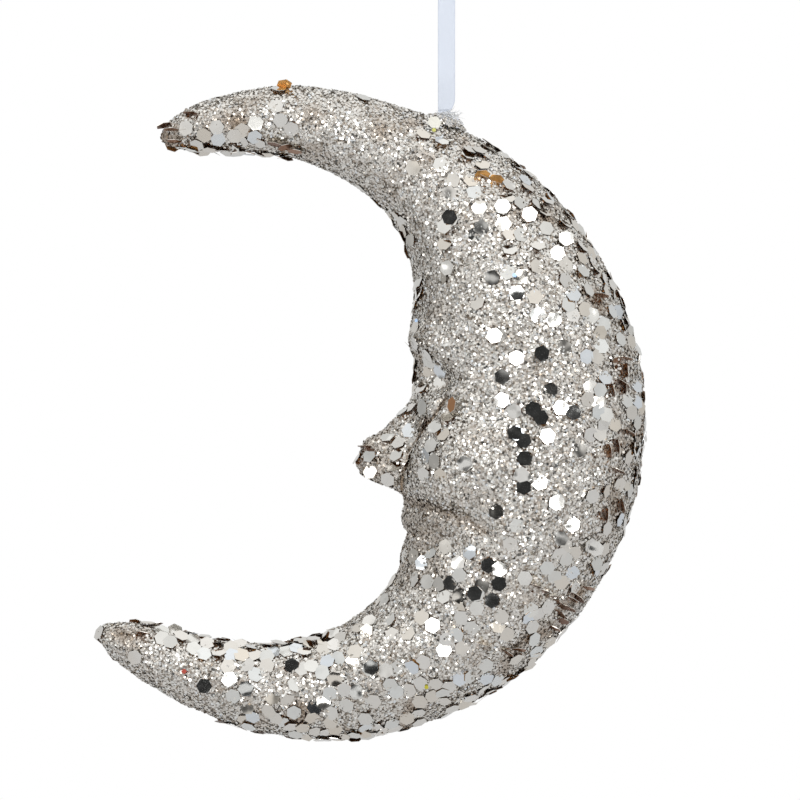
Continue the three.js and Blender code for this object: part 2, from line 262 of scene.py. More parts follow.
def satin_finish():
    finish, tree, shader = new_finish(
        "satin", Roughness=0.42, Sheen_Weight=0.25, Sheen_Roughness=0.4, Anisotropic=0.4
    )
    measure = add_node(tree, "ShaderNodeUVMap", {"uv_map": "cloth"}).outputs[0]
    across, along = add_node(tree, "ShaderNodeSeparateXYZ", Vector=measure).outputs[:2]
    ribs = join(tree, "SINE", join(tree, "MULTIPLY", across, 38.0))
    picks = join(tree, "SINE", join(tree, "MULTIPLY", along, 24.0))
    drawn_out = join_vectors(tree, "MULTIPLY", measure, (9.0, 0.7, 1.0))
    slub = add_node(tree, "ShaderNodeTexNoise", Vector=drawn_out, Scale=1.0, Detail=3.0)
    edge = join(tree, "GREATER_THAN", join(tree, "ABSOLUTE", across), 1.52)
    tone = join(tree, "MULTIPLY_ADD", slub.outputs[0], 0.9, join(tree, "MULTIPLY", ribs, 0.07))
    tone = join(tree, "ADD", tone, join(tree, "MULTIPLY", edge, -0.35), clamp=True)
    height = join(tree, "MULTIPLY_ADD", picks, 0.35, join(tree, "ADD", ribs, edge))
    plug(tree, shader, "Base Color", mix_colours(tree, tone, SATIN_SHADE, SATIN_COLOUR))
    plug(tree, shader, "Normal", bumped(tree, height, 0.25, 0.00006))
    return finish


satin = satin_finish()
print("finish:", satin.name)

# %% [markdown]
# ## Ribbon
#
# A tape is a flat band, a little thicker at its two selvedges, with a slight hollow across. It is made
# as a closed band of quads along the route, in many short steps. Its own measure goes into a map named
# cloth.

# %% Lay the ribbon along its route
RIBBON_WIDTH = 0.0036
WEB_THICKNESS = 0.00020
SELVEDGE_THICKNESS = 0.00029
CUPPING = 0.00010  # how far the middle of the tape stands behind its edges
MIDDLE_BEHIND = 0.4  # how far the middle lies behind the route, as a share of the cupping
SELVEDGE_SHARES = (0.80, 0.92)  # where it begins to thicken and where it is full, from the middle
ROUNDED_EDGE = 0.06  # the outermost part of each half, which is rounded
WIDTH_STEPS = 18
PINCH_HEIGHTS = (-0.0625, -0.0575)


def tape_section():
    """The tape's outline across: places from edge to edge on one face, and back on the other."""
    upper, lower = [], []
    for i in range(WIDTH_STEPS + 1):
        share = -1 + 2 * i / WIDTH_STEPS
        at_edge = ease(abs(share), *SELVEDGE_SHARES)
        thick = WEB_THICKNESS + (SELVEDGE_THICKNESS - WEB_THICKNESS) * at_edge
        rounded = max(abs(share) - (1 - ROUNDED_EDGE), 0) / ROUNDED_EDGE
        thick *= math.sqrt(max(1 - rounded**2 * 0.85, 0))
        hollow = CUPPING * (share * share - MIDDLE_BEHIND)
        upper.append((share, hollow + thick / 2))
        lower.append((share, hollow - thick / 2))
    return upper + lower[::-1]


def pinch(z):
    """How far the glue gathers in the tape's right edge at a height, as a share of its width."""
    return 0.5 * (1 - ease(z, *PINCH_HEIGHTS))


def tube_faces(count, rings, start=0):
    """The faces of a closed tube whose rings have count places each."""
    faces = []
    for low in range(start, start + (rings - 1) * count, count):
        for k in range(count):
            a, b = low + k, low + (k + 1) % count
            faces.append((a, b, b + count, a + count))
    end = start + rings * count
    return faces + [tuple(range(start, start + count))[::-1], tuple(range(end - count, end))]


def tape(name, points, facing, slim=1.0):
    """A closed tape along points in the plane x = 0. facing is 1 where its outer face is on the left."""
    section = tape_section()
    places, measure, travelled = [], [], 0.0
    for i, point in enumerate(points):
        before, after = points[max(i - 1, 0)], points[min(i + 1, len(points) - 1)]
        way = (after - before).normalized()
        outward = Vector((0, -way.z, way.y)) * facing
        travelled += (point - before).length
        for share, height in section:
            across = share - pinch(point.z) * (share + 1)
            place = Vector((across * RIBBON_WIDTH / 2 * slim, 0, 0))
            places.append(point + place + outward * height * slim)
            measure.append((share * RIBBON_WIDTH * 500, travelled * 1000))
    made = built(name, places, tube_faces(len(section), len(points)), satin)
    cloth = made.data.uv_layers.new(name="cloth")
    for loop in made.data.loops:
        cloth.data[loop.index].uv = measure[loop.vertex_index]
    turned = bmesh.new()
    turned.from_mesh(made.data)
    bmesh.ops.recalc_face_normals(turned, faces=turned.faces)
    for face in turned.faces:
        face.smooth = len(face.verts) == 4
    turned.to_mesh(made.data)
    turned.free()
    return made


def piece(name, mesh, *finishes):
    """Puts a mesh in the scene under a name, with its finishes."""
    mesh.name = name
    if finishes:
        mesh.materials.clear()
        for finish in finishes:
            mesh.materials.append(finish)
    return add_object(name, mesh)


def built(name, places, faces, *finishes, smooth=False):
    """A piece from its corners and faces."""
    mesh = bpy.data.meshes.new(name)
    mesh.from_pydata(places, [], faces)
    for polygon in mesh.polygons:
        polygon.use_smooth = smooth
    return piece(name, mesh, *finishes)


ribbon = tape("ribbon", route, 1)
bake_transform(ribbon)
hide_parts("ribbon_loop", "ribbon_neck_front", "ribbon_neck_back")
print("ribbon:", len(ribbon.data.polygons), "faces")

# %% [markdown]
# ## Ribbon ends
#
# Below the bend where the moon swings, both ends of the ribbon run down into the glue. They move with
# the moon. Nobody sees them, but a part that is taken apart should still have them.

# %% Lay the two ends
TAIL_BOTTOM = -0.0724
TAIL_PLACES = 14
TAIL_SLIM = 0.98  # a little slimmer than the ribbon, so that the glue closes round them

tails = []
for side, place in (("front", -1), ("back", 1)):
    heights = np.linspace(-LOOP_HEIGHT, TAIL_BOTTOM, TAIL_PLACES)
    down = [Vector((0, place * SPREAD_AT_GLUE, z)) for z in heights]
    tail = tape("ribbon_end_" + side, down, place, TAIL_SLIM)
    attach(tail, "moon")
    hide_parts("ribbon_tail_" + side)
    tails.append(tail)
print("ribbon ends:", [t.name for t in tails])

# %% [markdown]
# ## Glitter colours
#
# The glitter is champagne silver. A single colour would look like paint, so each flake carries a
# number from 0 to 1, and a shared group of nodes turns that number into a film colour. Most flakes
# are warm silver, some are greyer or whiter, and a few are brown or blue.

# %% Mix the film colours
FILM_TONES = [
    (0.0, (0.22, 0.185, 0.145)), (0.07, (0.41, 0.375, 0.33)), (0.20, (0.63, 0.598, 0.55)),
    (0.45, (0.76, 0.737, 0.69)), (0.62, (0.68, 0.66, 0.615)), (0.74, (0.81, 0.79, 0.75)),
    (0.84, (0.75, 0.727, 0.69)), (0.91, (0.73, 0.74, 0.71)), (0.96, (0.85, 0.845, 0.825)),
    (1.0, (0.73, 0.775, 0.81)),
]
# the brown of glue between the glitter, also used as painted shade in the folds of the face and over the
# inner hollow
GLUE_AND_SHADE_BROWN = (0.30, 0.215, 0.14)


def film_colours():
    group, given, result = new_group(
        "film_colours", "Shader", floats("Tone", "Depth"), [("Colour", "Color")]
    )
    silver = ramp(group, given["Tone"], FILM_TONES)
    plug(group, result, "Colour", mix_colours(group, given["Depth"], silver, GLUE_AND_SHADE_BROWN))
    return group


film_group = film_colours()


def film_colour(tree, tone, depth=0.0):
    node = add_node(tree, "ShaderNodeGroup", {"node_tree": film_group}, Tone=tone, Depth=depth)
    return node.outputs["Colour"]


def own_number(tree, name):
    """A number that each vertex of the piece carries."""
    return add_node(tree, "ShaderNodeAttribute", {"attribute_name": name}).outputs["Fac"]


print("group:", film_group.name)

# %% [markdown]
# ## Crust
#
# Under the flakes lies a crust of glue and glitter dust. It starts from the outer side of the coat.
# That solid has few faces, so its outer shell is copied, its triangles are paired into quads, and a
# subdivision surface rounds it. The hanger hole is closed, because glue and ribbon fill it.

# %% Take the outer shell of the coat
CREASE_LIMIT = math.radians(55)
PAIRING_LIMIT = math.radians(60)


def outer_shell(coat):
    """The faces that can be reached from the outside without going over a sharp edge."""
    shell = bmesh.new()
    shell.from_mesh(coat.data)
    bmesh.ops.remove_doubles(shell, verts=shell.verts, dist=1e-6)
    start = max(shell.faces, key=lambda f: f.calc_center_median().x)
    reached, waiting = {start}, [start]
    while waiting:
        face = waiting.pop()
        for edge in face.edges:
            if len(edge.link_faces) == 2 and edge.calc_face_angle(math.pi) < CREASE_LIMIT:
                other = next(f for f in edge.link_faces if f is not face)
                if other not in reached:
                    reached.add(other)
                    waiting.append(other)
    bmesh.ops.delete(shell, geom=[f for f in shell.faces if f not in reached], context="FACES")
    rim = [e for e in shell.edges if e.is_boundary]
    bmesh.ops.holes_fill(shell, edges=rim, sides=0)
    bmesh.ops.join_triangles(
        shell,
        faces=shell.faces,
        angle_face_threshold=PAIRING_LIMIT,
        angle_shape_threshold=PAIRING_LIMIT,
    )
    bmesh.ops.recalc_face_normals(shell, faces=shell.faces)
    return shell


shell = outer_shell(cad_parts["glitter_coat"])
shell_mesh = bpy.data.meshes.new("shell")
print("shell faces:", len(shell.faces), "open edges:", sum(e.is_boundary for e in shell.edges))
shell.to_mesh(shell_mesh)
shell.free()

# %% [markdown]
# Hand-laid glue is never even. A small tree of geometry nodes pushes the rounded shell in and out by
# two sizes of noise: broad lumps where glue ran, and small grains where dust caked.

# %% Build the tree that makes the crust uneven
def geometry_group(name, inputs):
    geometry = [("Geometry", "Geometry")]
    group = new_group(name, "Geometry", geometry + inputs, geometry)
    group[0].is_modifier = True
    return group


def coated(tree, geometry, finish, **chosen):
    """The geometry with a finish on all of its faces, or on the chosen ones."""
    return add_node(
        tree, "GeometryNodeSetMaterial", Geometry=geometry, Material=finish, **chosen
    ).outputs[0]


CRUST_INPUTS = floats("Lump Size", "Lump Height", "Grain Size", "Grain Height", "Build Up")


def crust_tree():
    tree, given, result = geometry_group("uneven_crust", CRUST_INPUTS + [("Finish", "Material")])
    normal = tree.nodes.new("GeometryNodeInputNormal").outputs[0]
    height = given["Build Up"]
    for label in ("Lump", "Grain"):
        scale = join(tree, "DIVIDE", 1.0, given[label + " Size"])
        pattern = add_node(tree, "ShaderNodeTexNoise", Scale=scale, Detail=2.0)
        centred = join(tree, "SUBTRACT", pattern.outputs[0], 0.5)
        height = join(tree, "MULTIPLY_ADD", centred, given[label + " Height"], height)
    offset = join_vectors(tree, "SCALE", normal, height)
    moved = add_node(
        tree, "GeometryNodeSetPosition", Geometry=given["Geometry"], Offset=offset
    )
    plug(tree, result, "Geometry", coated(tree, moved.outputs[0], given["Finish"]))
    return tree


def run_tree(made, tree, **values):
    """Runs a geometry tree on a piece and keeps the result as its plain mesh."""
    modifier = made.modifiers.new(tree.name, "NODES")
    modifier.node_group = tree
    for item in tree.interface.items_tree:
        key = item.name.lower().replace(" ", "_")
        if item.in_out == "INPUT" and key in values:
            modifier[item.identifier] = values[key]
    bpy.context.view_layer.update()
    evaluated = made.evaluated_get(bpy.context.evaluated_depsgraph_get())
    mesh = bpy.data.meshes.new_from_object(evaluated)
    made.modifiers.clear()
    made.data = mesh
    mesh.name = made.name


uneven_crust = crust_tree()
print("tree:", uneven_crust.name, len(uneven_crust.nodes), "nodes")

# %% [markdown]
# ## Crust finish
#
# Between the flakes there is more glitter, ground into the glue. It is too fine to model, so the crust
# is drawn as a mosaic of tiny cells. Each cell has its own colour and its own tilt, as a flake does,
# and the joints between the cells are dark, brownish glue.

# %% Build the mosaic group and the crust finish
CELLS_A_METRE = 2300.0


def mosaic():
    group, given, result = new_group(
        "glitter_mosaic",
        "Shader",
        floats("Cells Per Metre", "Tilt"),
        floats("Tone", "Joint") + [("Normal", "Vector")],
    )
    places, scale = object_places(group), given["Cells Per Metre"]
    cells = add_node(group, "ShaderNodeTexVoronoi", Vector=places, Scale=scale)
    edges = add_node(
        group, "ShaderNodeTexVoronoi", {"feature": "DISTANCE_TO_EDGE"}, Vector=places, Scale=scale
    )
    colour = cells.outputs["Color"]
    tone = add_node(group, "ShaderNodeSeparateColor", Color=colour).outputs[0]
    lean = join_vectors(group, "SUBTRACT", colour, (0.5, 0.5, 0.5))
    lean = join_vectors(group, "SCALE", lean, given["Tilt"])
    facing = group.nodes.new("ShaderNodeNewGeometry").outputs["Normal"]
    leaning = join_vectors(group, "NORMALIZE", join_vectors(group, "ADD", facing, lean))
    joint = join(group, "SUBTRACT", 1.0, join(group, "MULTIPLY", edges.outputs[0], 9.0), clamp=True)
    for label, value in (("Tone", tone), ("Joint", joint), ("Normal", leaning)):
        plug(group, result, label, value)
    return group


mosaic_group = mosaic()


def crust_finish():
    finish, tree, shader = new_finish("glitter_crust", Roughness=0.38)
    cells = add_node(
        tree, "ShaderNodeGroup", {"node_tree": mosaic_group}, Cells_Per_Metre=CELLS_A_METRE, Tilt=0.9
    )
    joint = cells.outputs["Joint"]
    brown_and_shade = join(tree, "MULTIPLY_ADD", noise_map(tree, 240.0, 4.0), 1.6, -0.55, clamp=True)
    # the stain number adds brown glue patches, and painted shade in the folds and over the inner hollow
    brown_and_shade = join(tree, "MAXIMUM", brown_and_shade, own_number(tree, "stain"))
    depth = join(tree, "MAXIMUM", join(tree, "MULTIPLY", joint, 0.85), brown_and_shade)
    plug(tree, shader, "Base Color", film_colour(tree, cells.outputs["Tone"], depth))
    plug(tree, shader, "Metallic", join(tree, "MULTIPLY_ADD", joint, -0.6, 0.9))
    plug(tree, shader, "Normal", cells.outputs["Normal"])
    return finish


crust_look = crust_finish()
print("finish:", crust_look.name)

# %% [markdown]
# Now the shell is rounded by a subdivision surface and made uneven. The subdivision draws the shell in
# a little, and the raise puts it back out to where the coat's own surface is.

# %% Make the crust
crust = piece("glitter_crust", shell_mesh)
rounding = crust.modifiers.new("rounding", "SUBSURF")
rounding.levels = rounding.render_levels = 2
run_tree(
    crust,
    uneven_crust,
    lump_size=0.007,
    lump_height=0.0009,
    grain_size=0.0016,
    grain_height=0.00035,
    build_up=0.00005,
    finish=crust_look,
)
for polygon in crust.data.polygons:
    polygon.use_smooth = True
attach(crust, "moon")
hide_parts("glitter_coat")
print("crust:", len(crust.data.vertices), "vertices")

# %% [markdown]
# The folds of the face are sharper than any lump: beside the nose, under the cheek, at the eye and at
# the mouth. Glue gathers in them and stains the glitter brown, and a painted shade darkens them further.
# Each is a line of places across and up from the centre of the outer circle, in millimetres. The crust
# sinks along it, swells a little on the side of the cheek, and carries the stain and the painted shade
# as a number on each vertex.

# %% Press in the folds
OUTER_RADIUS = 67.2
CIRCLE_X = -25.4
CIRCLE_Z = -124.715
CIRCLE_CENTRE = np.array((CIRCLE_X, 0, CIRCLE_Z))
DRAWN_IN = 0.2  # everywhere, to make room for flakes and sequins
DRAWN_IN_INSIDE = 0.4  # more of it on the hollow side
PULLS = [
    # across, up, reach, and the way: where the outline of the dressed moon would be too full
    (-30.0, 55.4, 7.0, 0.0, 1.2), (-41.0, -41.6, 5.0, 0.0, -0.9), (-30.0, -60.0, 11.0, 0.0, 0.5),
    (12.4, -14.6, 3.4, 0.0, 1.0), (5.4, -9.4, 2.6, 0.7, 0.0), (-21.0, 69.0, 8.0, 0.0, -0.5),
    (-48.4, -45.2, 2.4, -1.0, 0.1), (8.6, -4.8, 2.4, -0.8, 0.9),
]
LEAST_OVER_FOAM = 0.1
CRISP_REACH = 2.2  # how far from a fold the faces are split
FOLDS = [
    # name, reach, depth, swell, stain and painted shade, line
    ("beside_nose", 0.55, 1.15, 0.70, 1.0,
     [(24.6, 4.6), (22.4, 1.2), (19.9, -1.9), (18.2, -4.0), (16.9, -6.9), (16.2, -10.3), (15.7, -13.7),
      (15.7, -15.8)]),
    ("under_cheek", 1.5, 0.75, 0.35, 0.60,
     [(15.2, -16.4), (18.8, -17.9), (22.0, -18.9), (25.7, -20.0), (29.3, -21.3), (32.5, -22.9)]),
    ("eye", 1.3, 0.8, 0.3, 0.35, [(18.2, 13.2), (20.5, 11.4), (22.4, 9.6), (24.3, 7.6)]),
    ("mouth", 0.8, 0.55, 0.0, 0.55, [(15.4, -23.9), (18.0, -23.7), (22.4, -23.5)]),
]


def moon_places(mesh):
    """The vertices in millimetres, from the centre of the outer circle."""
    places = np.empty(len(mesh.vertices) * 3, np.float32)
    mesh.vertices.foreach_get("co", places)
    return places.reshape(-1, 3) * 1000 - CIRCLE_CENTRE


def from_line(x, z, line):
    """Distance of each place from a line, and on which side of it the place lies."""
    nearest = np.full(len(x), 1e9)
    side = np.zeros(len(x))
    for (ax, az), (bx, bz) in zip(line, line[1:]):
        wx, wz = bx - ax, bz - az
        share = np.clip(((x - ax) * wx + (z - az) * wz) / (wx * wx + wz * wz), 0, 1)
        dx, dz = x - ax - share * wx, z - az - share * wz
        distance = np.hypot(dx, dz)
        closer = distance < nearest
        nearest = np.where(closer, distance, nearest)
        side = np.where(closer, np.sign(wx * dz - wz * dx), side)
    return nearest, side


def store(mesh, name, values):
    attribute = mesh.attributes.new(name, "FLOAT", "POINT")
    attribute.data.foreach_set("value", np.asarray(values, np.float32))


def refine_near_folds(made):
    """Splits the crust's faces near a fold in three each way, so that the fold comes out crisp."""
    fine = bmesh.new()
    fine.from_mesh(made.data)
    middles = np.array([f.calc_center_median() for f in fine.faces]) * 1000 - CIRCLE_CENTRE
    near = np.zeros(len(middles), bool)
    for name, reach, depth, swell, colour, line in FOLDS:
        near |= from_line(middles[:, 0], middles[:, 2], line)[0] < CRISP_REACH
    fine.faces.ensure_lookup_table()
    edges = {e for i in np.flatnonzero(near) for e in fine.faces[i].edges}
    bmesh.ops.subdivide_edges(fine, edges=list(edges), cuts=2, use_grid_fill=True)
    fine.to_mesh(made.data)
    fine.free()


def press_folds(made):
    mesh = made.data
    places = moon_places(mesh)
    x, y, z = places.T
    normals = np.empty(len(mesh.vertices) * 3, np.float32)
    mesh.vertices.foreach_get("normal", normals)
    height, stain = np.zeros(len(x)), np.zeros(len(x))
    for name, reach, depth, swell, colour, line in FOLDS:
        distance, side = from_line(x, z, line)
        height -= depth * np.exp(-((distance / reach) ** 2))
        spread = distance / (2.6 * reach + 0.4)
        beside = spread * np.exp(0.5 - spread**2 / 2)
        height += swell * beside**3 * (side > 0)
        # the brown along a fold is partly glue stain and partly painted shade
        stain = np.maximum(stain, colour * np.exp(-((distance / (reach * 0.9)) ** 2)))
    normals = normals.reshape(-1, 3)
    outwards = (normals[:, 0] * x + normals[:, 2] * z) / np.hypot(x, z)
    height -= DRAWN_IN + DRAWN_IN_INSIDE * np.clip(-outwards, 0, 1)
    moved = places + normals * height[:, None]
    for px, pz, reach, dx, dz in PULLS:
        share = np.exp(-((x - px) ** 2 + (z - pz) ** 2) / reach**2)
        moved[:, 0] += dx * share
        moved[:, 2] += dz * share
    moved = (moved + CIRCLE_CENTRE) / 1000
    mesh.vertices.foreach_set("co", moved.astype(np.float32).ravel())
    return stain, height


def keep_off_foam(made):
    """Lifts every vertex that would lie in the foam back out of it."""
    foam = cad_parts["foam_core"].data
    core = BVHTree.FromPolygons([v.co for v in foam.vertices], [f.vertices for f in foam.polygons])
    lifted = 0
    for vertex in made.data.vertices:
        nearest, normal, _, _ = core.find_nearest(vertex.co)
        room = (vertex.co - nearest).dot(normal) * 1000
        if room < LEAST_OVER_FOAM:
            vertex.co += normal * (LEAST_OVER_FOAM - room) / 1000
            lifted += 1
    made.data.update()
    return lifted


refine_near_folds(crust)
fold_stain_and_shade, fold_height = press_folds(crust)
print("vertices lifted off the foam:", keep_off_foam(crust))
print("folds press in by up to", round(float(-fold_height.min()), 2), "mm")

# %% [markdown]
# ## Where flakes and sequins lie
#
# The fine glitter covers everything. The sequins don't: they were sprinkled from one side, so they lie
# thick along the outer rim, on the lower horn, under the upper tip and on the nose, thin over the
# middle of the face, and hardly at all inside the upper arc. That is written as a number from 0 to 1
# on each vertex of the crust. Places are in millimetres from the centre of the outer circle.

# %% Work out the shares
def band(values, low, high, fade):
    """1 between low and high, fading to 0 beyond them."""
    inside = np.minimum(values - low, high - values) / fade + 1
    share = np.clip(inside, 0, 1)
    return share * share * (3 - 2 * share)


def sequin_share(places):
    """How thick the sequins lie at each place, from nearly 0 to 1."""
    x, y, z = places.T
    from_rim = OUTER_RADIUS - np.hypot(x, z)
    angle = np.degrees(np.arctan2(z, x))
    back_rim = band(from_rim, -9, 10, 9) * band(angle, -100, 22, 16) * 0.60
    upper_rim = band(from_rim, -9, 10, 7) * band(angle, 22, 58, 10) * 0.52
    lower_horn = band(angle, -108, -46, 12) * band(from_rim, -9, 30, 5) * 0.34
    lower_edge = band(angle, -110, -55, 3) * band(from_rim, -9, 7, 4) * 0.66
    ledge_depth = from_rim + 0.2 * np.clip(-108 - angle, 0, 30)
    lower_ledge = band(ledge_depth, 14, 40, 3) * band(angle, -136, -88, 5) * 0.95
    lower_tip = band(angle, -180, -112, 6) * 0.12
    under_tip = band(60.3 + 0.08 * (x + 26) - z, 0, 30, 1.5) * band(x, -40, -9, 4) * (z > 30)
    horn_top = band(angle, 62, 150, 8) * band(from_rim, -9, -1, 3) * 0.10
    nose = band(x, -20, 12, 4) * band(z, -17, 2, 2) * 0.46
    bridge = band(x, 17.5, 25, 2) * band(z, -11, 13, 3) * 0.42
    inner_rim = band(np.abs(y), -1, 6, 3) * band(z, 8, 40, 4) * band(x, 0, 24, 3) * 0.5
    column = band(from_rim, 8, 26, 6) * band(angle, -50, 45, 14) * 0.13
    shares = (back_rim, upper_rim, lower_horn, lower_ledge, lower_tip, under_tip, horn_top, nose)
    shares += (bridge, inner_rim, column, lower_edge)
    return np.clip(np.maximum.reduce(shares), 0.012, 1)


def stain_and_shade_share(places):
    """Brown patches where glue shows through, mostly near the rim and at the upper tip, and painted
    shade inside.
    """
    x, y, z = places.T
    from_rim = OUTER_RADIUS - np.hypot(x, z)
    patches = np.array([noise.noise(Vector(p) / 6.5) for p in places])
    patches = np.clip(patches * 2.2 - 0.35, 0, 1)
    rim = 0.25 + 0.75 * band(from_rim, -9, 7, 6)
    tip = band(np.degrees(np.arctan2(z, x)), 119.5, 180, 2) * 0.75
    tip *= z > 0
    nose = band(x, -20, 13, 3) * band(z, -17, 1, 2) * 0.34
    # painted shade: the inner hollow is darkened a little
    inside = band(np.hypot(x - 12, z), 20, 42, 8) * 0.12 * band(x, -60, 8, 6)
    chin = band(x, 13, 23, 4) * band(z, -33, -19, 4) * 0.34
    return np.clip(np.maximum.reduce((patches * rim * 0.9, tip, nose, inside, chin)), 0, 1)


crust_places = moon_places(crust.data)
shares = sequin_share(crust_places)
print("mean sequin share:", round(float(shares.mean()), 2))

# %% [markdown]
# Some sequins catch the eye at once: those that mirror the lamp are white, those that mirror the dark
# side of the studio are nearly black, and those that lie face down or stand on edge show amber, rust,
# gold or copper lacquer. They are laid one by one, each at its place and leaning the way that makes it
# so. The list says which kind comes next and where, across and up from the centre of the outer circle
# in millimetres. A third number lifts the sequin by as many millimetres.

# %% List the sequins that stand out
LAID_BY_HAND = [
    ("white", [(36.7, 43.7), (41.9, 41.8), (49.3, 36.8), (48.0, 34.2), (47.2, 20.4), (35.2, 17.2),
        (39.6, 12.6), (36.7, 4.0), (48.6, 2.5), (45.9, -3.4), (47.6, -17.0), (36.2, -30.5),
        (24.8, -47.5), (-19.8, -54.2), (51.0, -21.5), (22.5, -42.5)]),
    ("dark", [(26.2, 41.8), (39.8, 26.0), (44.7, 13.4)]),
    ("grey", [(36.7, 8.8)]),
    ("dark", [(43.0, 2.1), (44.5, 0.4), (51.0, 1.5)]),
    ("grey", [(39.2, 1.7)]),
    ("dark", [(41.1, -4.4), (41.1, -8.0)]),
    ("grey", [(40.5, -11.3)]),
    ("dark", [(40.9, -13.9)]),
    ("grey", [(29.1, -9.0), (48.6, -24.4), (54.9, -26.0)]),
    ("dark", [(33.9, -30.0), (36.0, -33.8)]),
    ("grey", [(41.3, -32.6)]),
    ("dark", [(31.2, -35.7), (34.6, -37.2), (39.2, -2.9), (-25.1, -55.4), (-16.3, -55.9), (-6.8, -51.5),
        (9.8, -51.5)]),
    ("gold", [(32.6, 50.4), (35.4, 49.4)]),
    ("rust", [(62.2, 10.1)]),
    ("copper", [(26.6, 2.6, 0.6)]),
    ("amber", [(-38.2, -45.1), (60.5, -10.5), (49.2, -38.6), (-31.0, 60.8), (33.0, -46.5),
        (57.0, 25.5)]),
    ("rust", [(59.3, 6.1), (61.9, 6.7), (58.7, -6.5), (60.4, -5.5), (58.1, -19.7), (61.4, -18.0)]),
    ("amber", [(43.6, -34.2), (45.3, -35.2), (46.9, -36.4), (48.2, -37.8), (50.9, -37.0), (48.9, -41.6),
        (47.2, -43.0), (37.6, -48.0), (-33.4, 61.2), (-31.4, 58.6), (-28.0, 63.6)]),
    ("pale", [(44.0, 36.0), (25.2, 40.0), (25.0, 36.4), (26.0, 31.8), (18.4, 52.4), (10.8, -3.2),
        (13.2, -3.7), (15.4, -4.9)]),
    ("amber", [(8.6, -5.9)]),
    ("pale", [(9.4, -7.6), (9.6, -10.9), (13.2, -12.4), (15.0, -7.6), (14.6, -9.8), (16.5, 1.5),
        (18.4, 2.6), (20.4, -0.6), (23.0, -1.6), (25.6, 0.6), (22.2, -5.4), (20.4, 6.6)]),
    ("gold", [(-8.6, 69.0, 0.3)]),
    ("pale", [(-9.7, 68.8)]),
    ("amber", [(-10.5, 57.8), (-8.3, 57.2), (-6.2, 56.4), (52.2, -36.8), (54.2, -34.8), (50.4, -38.9),
        (48.4, -40.0), (62.0, 12.6), (61.4, 7.4), (62.6, -2.6), (40.0, -47.4)]),
    ("pale", [(20.5, 59.2), (24.2, 57.7), (32.0, 55.8), (30.2, 56.0), (29.7, 54.8), (32.7, 52.7),
        (33.3, 50.9), (38.1, 48.5), (37.9, 45.8), (42.3, 51.0), (42.1, 48.1), (46.1, 45.4),
        (44.0, 44.5), (45.4, 42.9), (50.7, 42.5), (49.8, 40.6), (53.3, 35.9), (53.4, 30.7),
        (56.2, 31.3), (54.5, 26.7), (38.3, 35.1), (38.3, 38.2)]),
    ("grey", [(34.7, 29.2)]),
    ("pale", [(31.7, 24.0)]),
]
print("on the list:", sum(len(places) for kind, places in LAID_BY_HAND))

# %% [markdown]
# A listed sequin is found by looking straight at the crust from the side, at its place. Scattered
# ones keep away from it, and so does the fine glitter, or flakes would stick through its film. The
# sequins that the solid model already has are kept clear in the same way.

# %% Find their places and keep them clear
SEQUIN_WIDTH = 0.0029  # across flats
CLEAR_OF_FIXED = 0.0013
LAID_ANYWAY = ("dark", "grey", "white")  # even over a sequin of the solid model
SEQUIN_CLEARANCE = (2.1, 3.0)  # how far from a taken place they begin, and where they are at their full
FLAKE_CLEARANCE = (1.0, 1.5)

crust_surface = BVHTree.FromPolygons(
    [v.co for v in crust.data.vertices], [p.vertices for p in crust.data.polygons]
)


def sight(x, z):
    """Where a look along y from the camera's side meets the crust, and the crust's normal there."""
    start = Vector(((x + CIRCLE_X) / 1000, -0.1, (z + CIRCLE_Z) / 1000))
    hit, normal, _, _ = crust_surface.ray_cast(start, Vector((0, 1, 0)))
    return hit, normal


fixed_sequins = [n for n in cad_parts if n.startswith("sequin_")]
fixed_places = [sum(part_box(n), Vector()) / 2 for n in fixed_sequins]
hand_places = []
for kind, places in LAID_BY_HAND:
    for x, z, *raised in places:
        hit, normal = sight(x, z)
        if hit is None:
            continue
        hit = hit + normal * sum(raised) / 1000
        room = min((hit - place).length for place in fixed_places)
        if room > CLEAR_OF_FIXED or kind in LAID_ANYWAY:
            hand_places.append((kind, hit, normal))
taken = np.array([tuple(p[1]) for p in hand_places] + [tuple(p) for p in fixed_places]) * 1000
taken -= CIRCLE_CENTRE


def clearance(places, low, high):
    """0 within low millimetres of a taken place, and 1 beyond high."""
    nearest = np.full(len(places), 1e9, np.float32)
    for place in taken:
        nearest = np.minimum(nearest, np.linalg.norm(places - place, axis=1))
    return np.clip((nearest - low) / (high - low), 0, 1)


store(crust.data, "sequin_share", shares * clearance(crust_places, *SEQUIN_CLEARANCE))
store(crust.data, "flake_share", clearance(crust_places, *FLAKE_CLEARANCE))
# the stain number: brown glue patches, with painted shade in the folds of the face and over the inner
# hollow
store(crust.data, "stain", np.maximum(fold_stain_and_shade, stain_and_shade_share(crust_places)))
print("places kept clear:", len(taken))

# %% [markdown]
# ## Flakes
#
# A flake of glitter is a scrap of mirror film, six-sided, about half a millimetre across. Geometry
# nodes scatter them over the crust, lean each one at random, lift it a little out of the glue, and
# give it its own number for colour. A flake is a very flat upside-down pyramid: its top is the mirror,
# and its point is sunk in the glue. That keeps it closed with few faces.

# %% Build the tree that scatters flakes
def in_use(node):
    """The first output that the node's settings leave in use."""
    return next(s for s in node.outputs if s.enabled)


def random_number(tree, low, high, seed):
    settings = {"data_type": "FLOAT"}
    return in_use(
        add_node(tree, "FunctionNodeRandomValue", settings, Min=low, Max=high, Seed=seed)
    )


def carried(tree, name, kind="FLOAT"):
    """A number or a mark that the geometry carries."""
    settings = {"data_type": kind}
    return in_use(add_node(tree, "GeometryNodeInputNamedAttribute", settings, Name=name))


def labelled(tree, geometry, name, value, kind="FLOAT", domain="INSTANCE"):
    """The geometry, carrying a number or a mark under a name."""
    return add_node(
        tree,
        "GeometryNodeStoreNamedAttribute",
        {"data_type": kind, "domain": domain},
        Geometry=geometry,
        Name=name,
        Value=value,
    ).outputs[0]


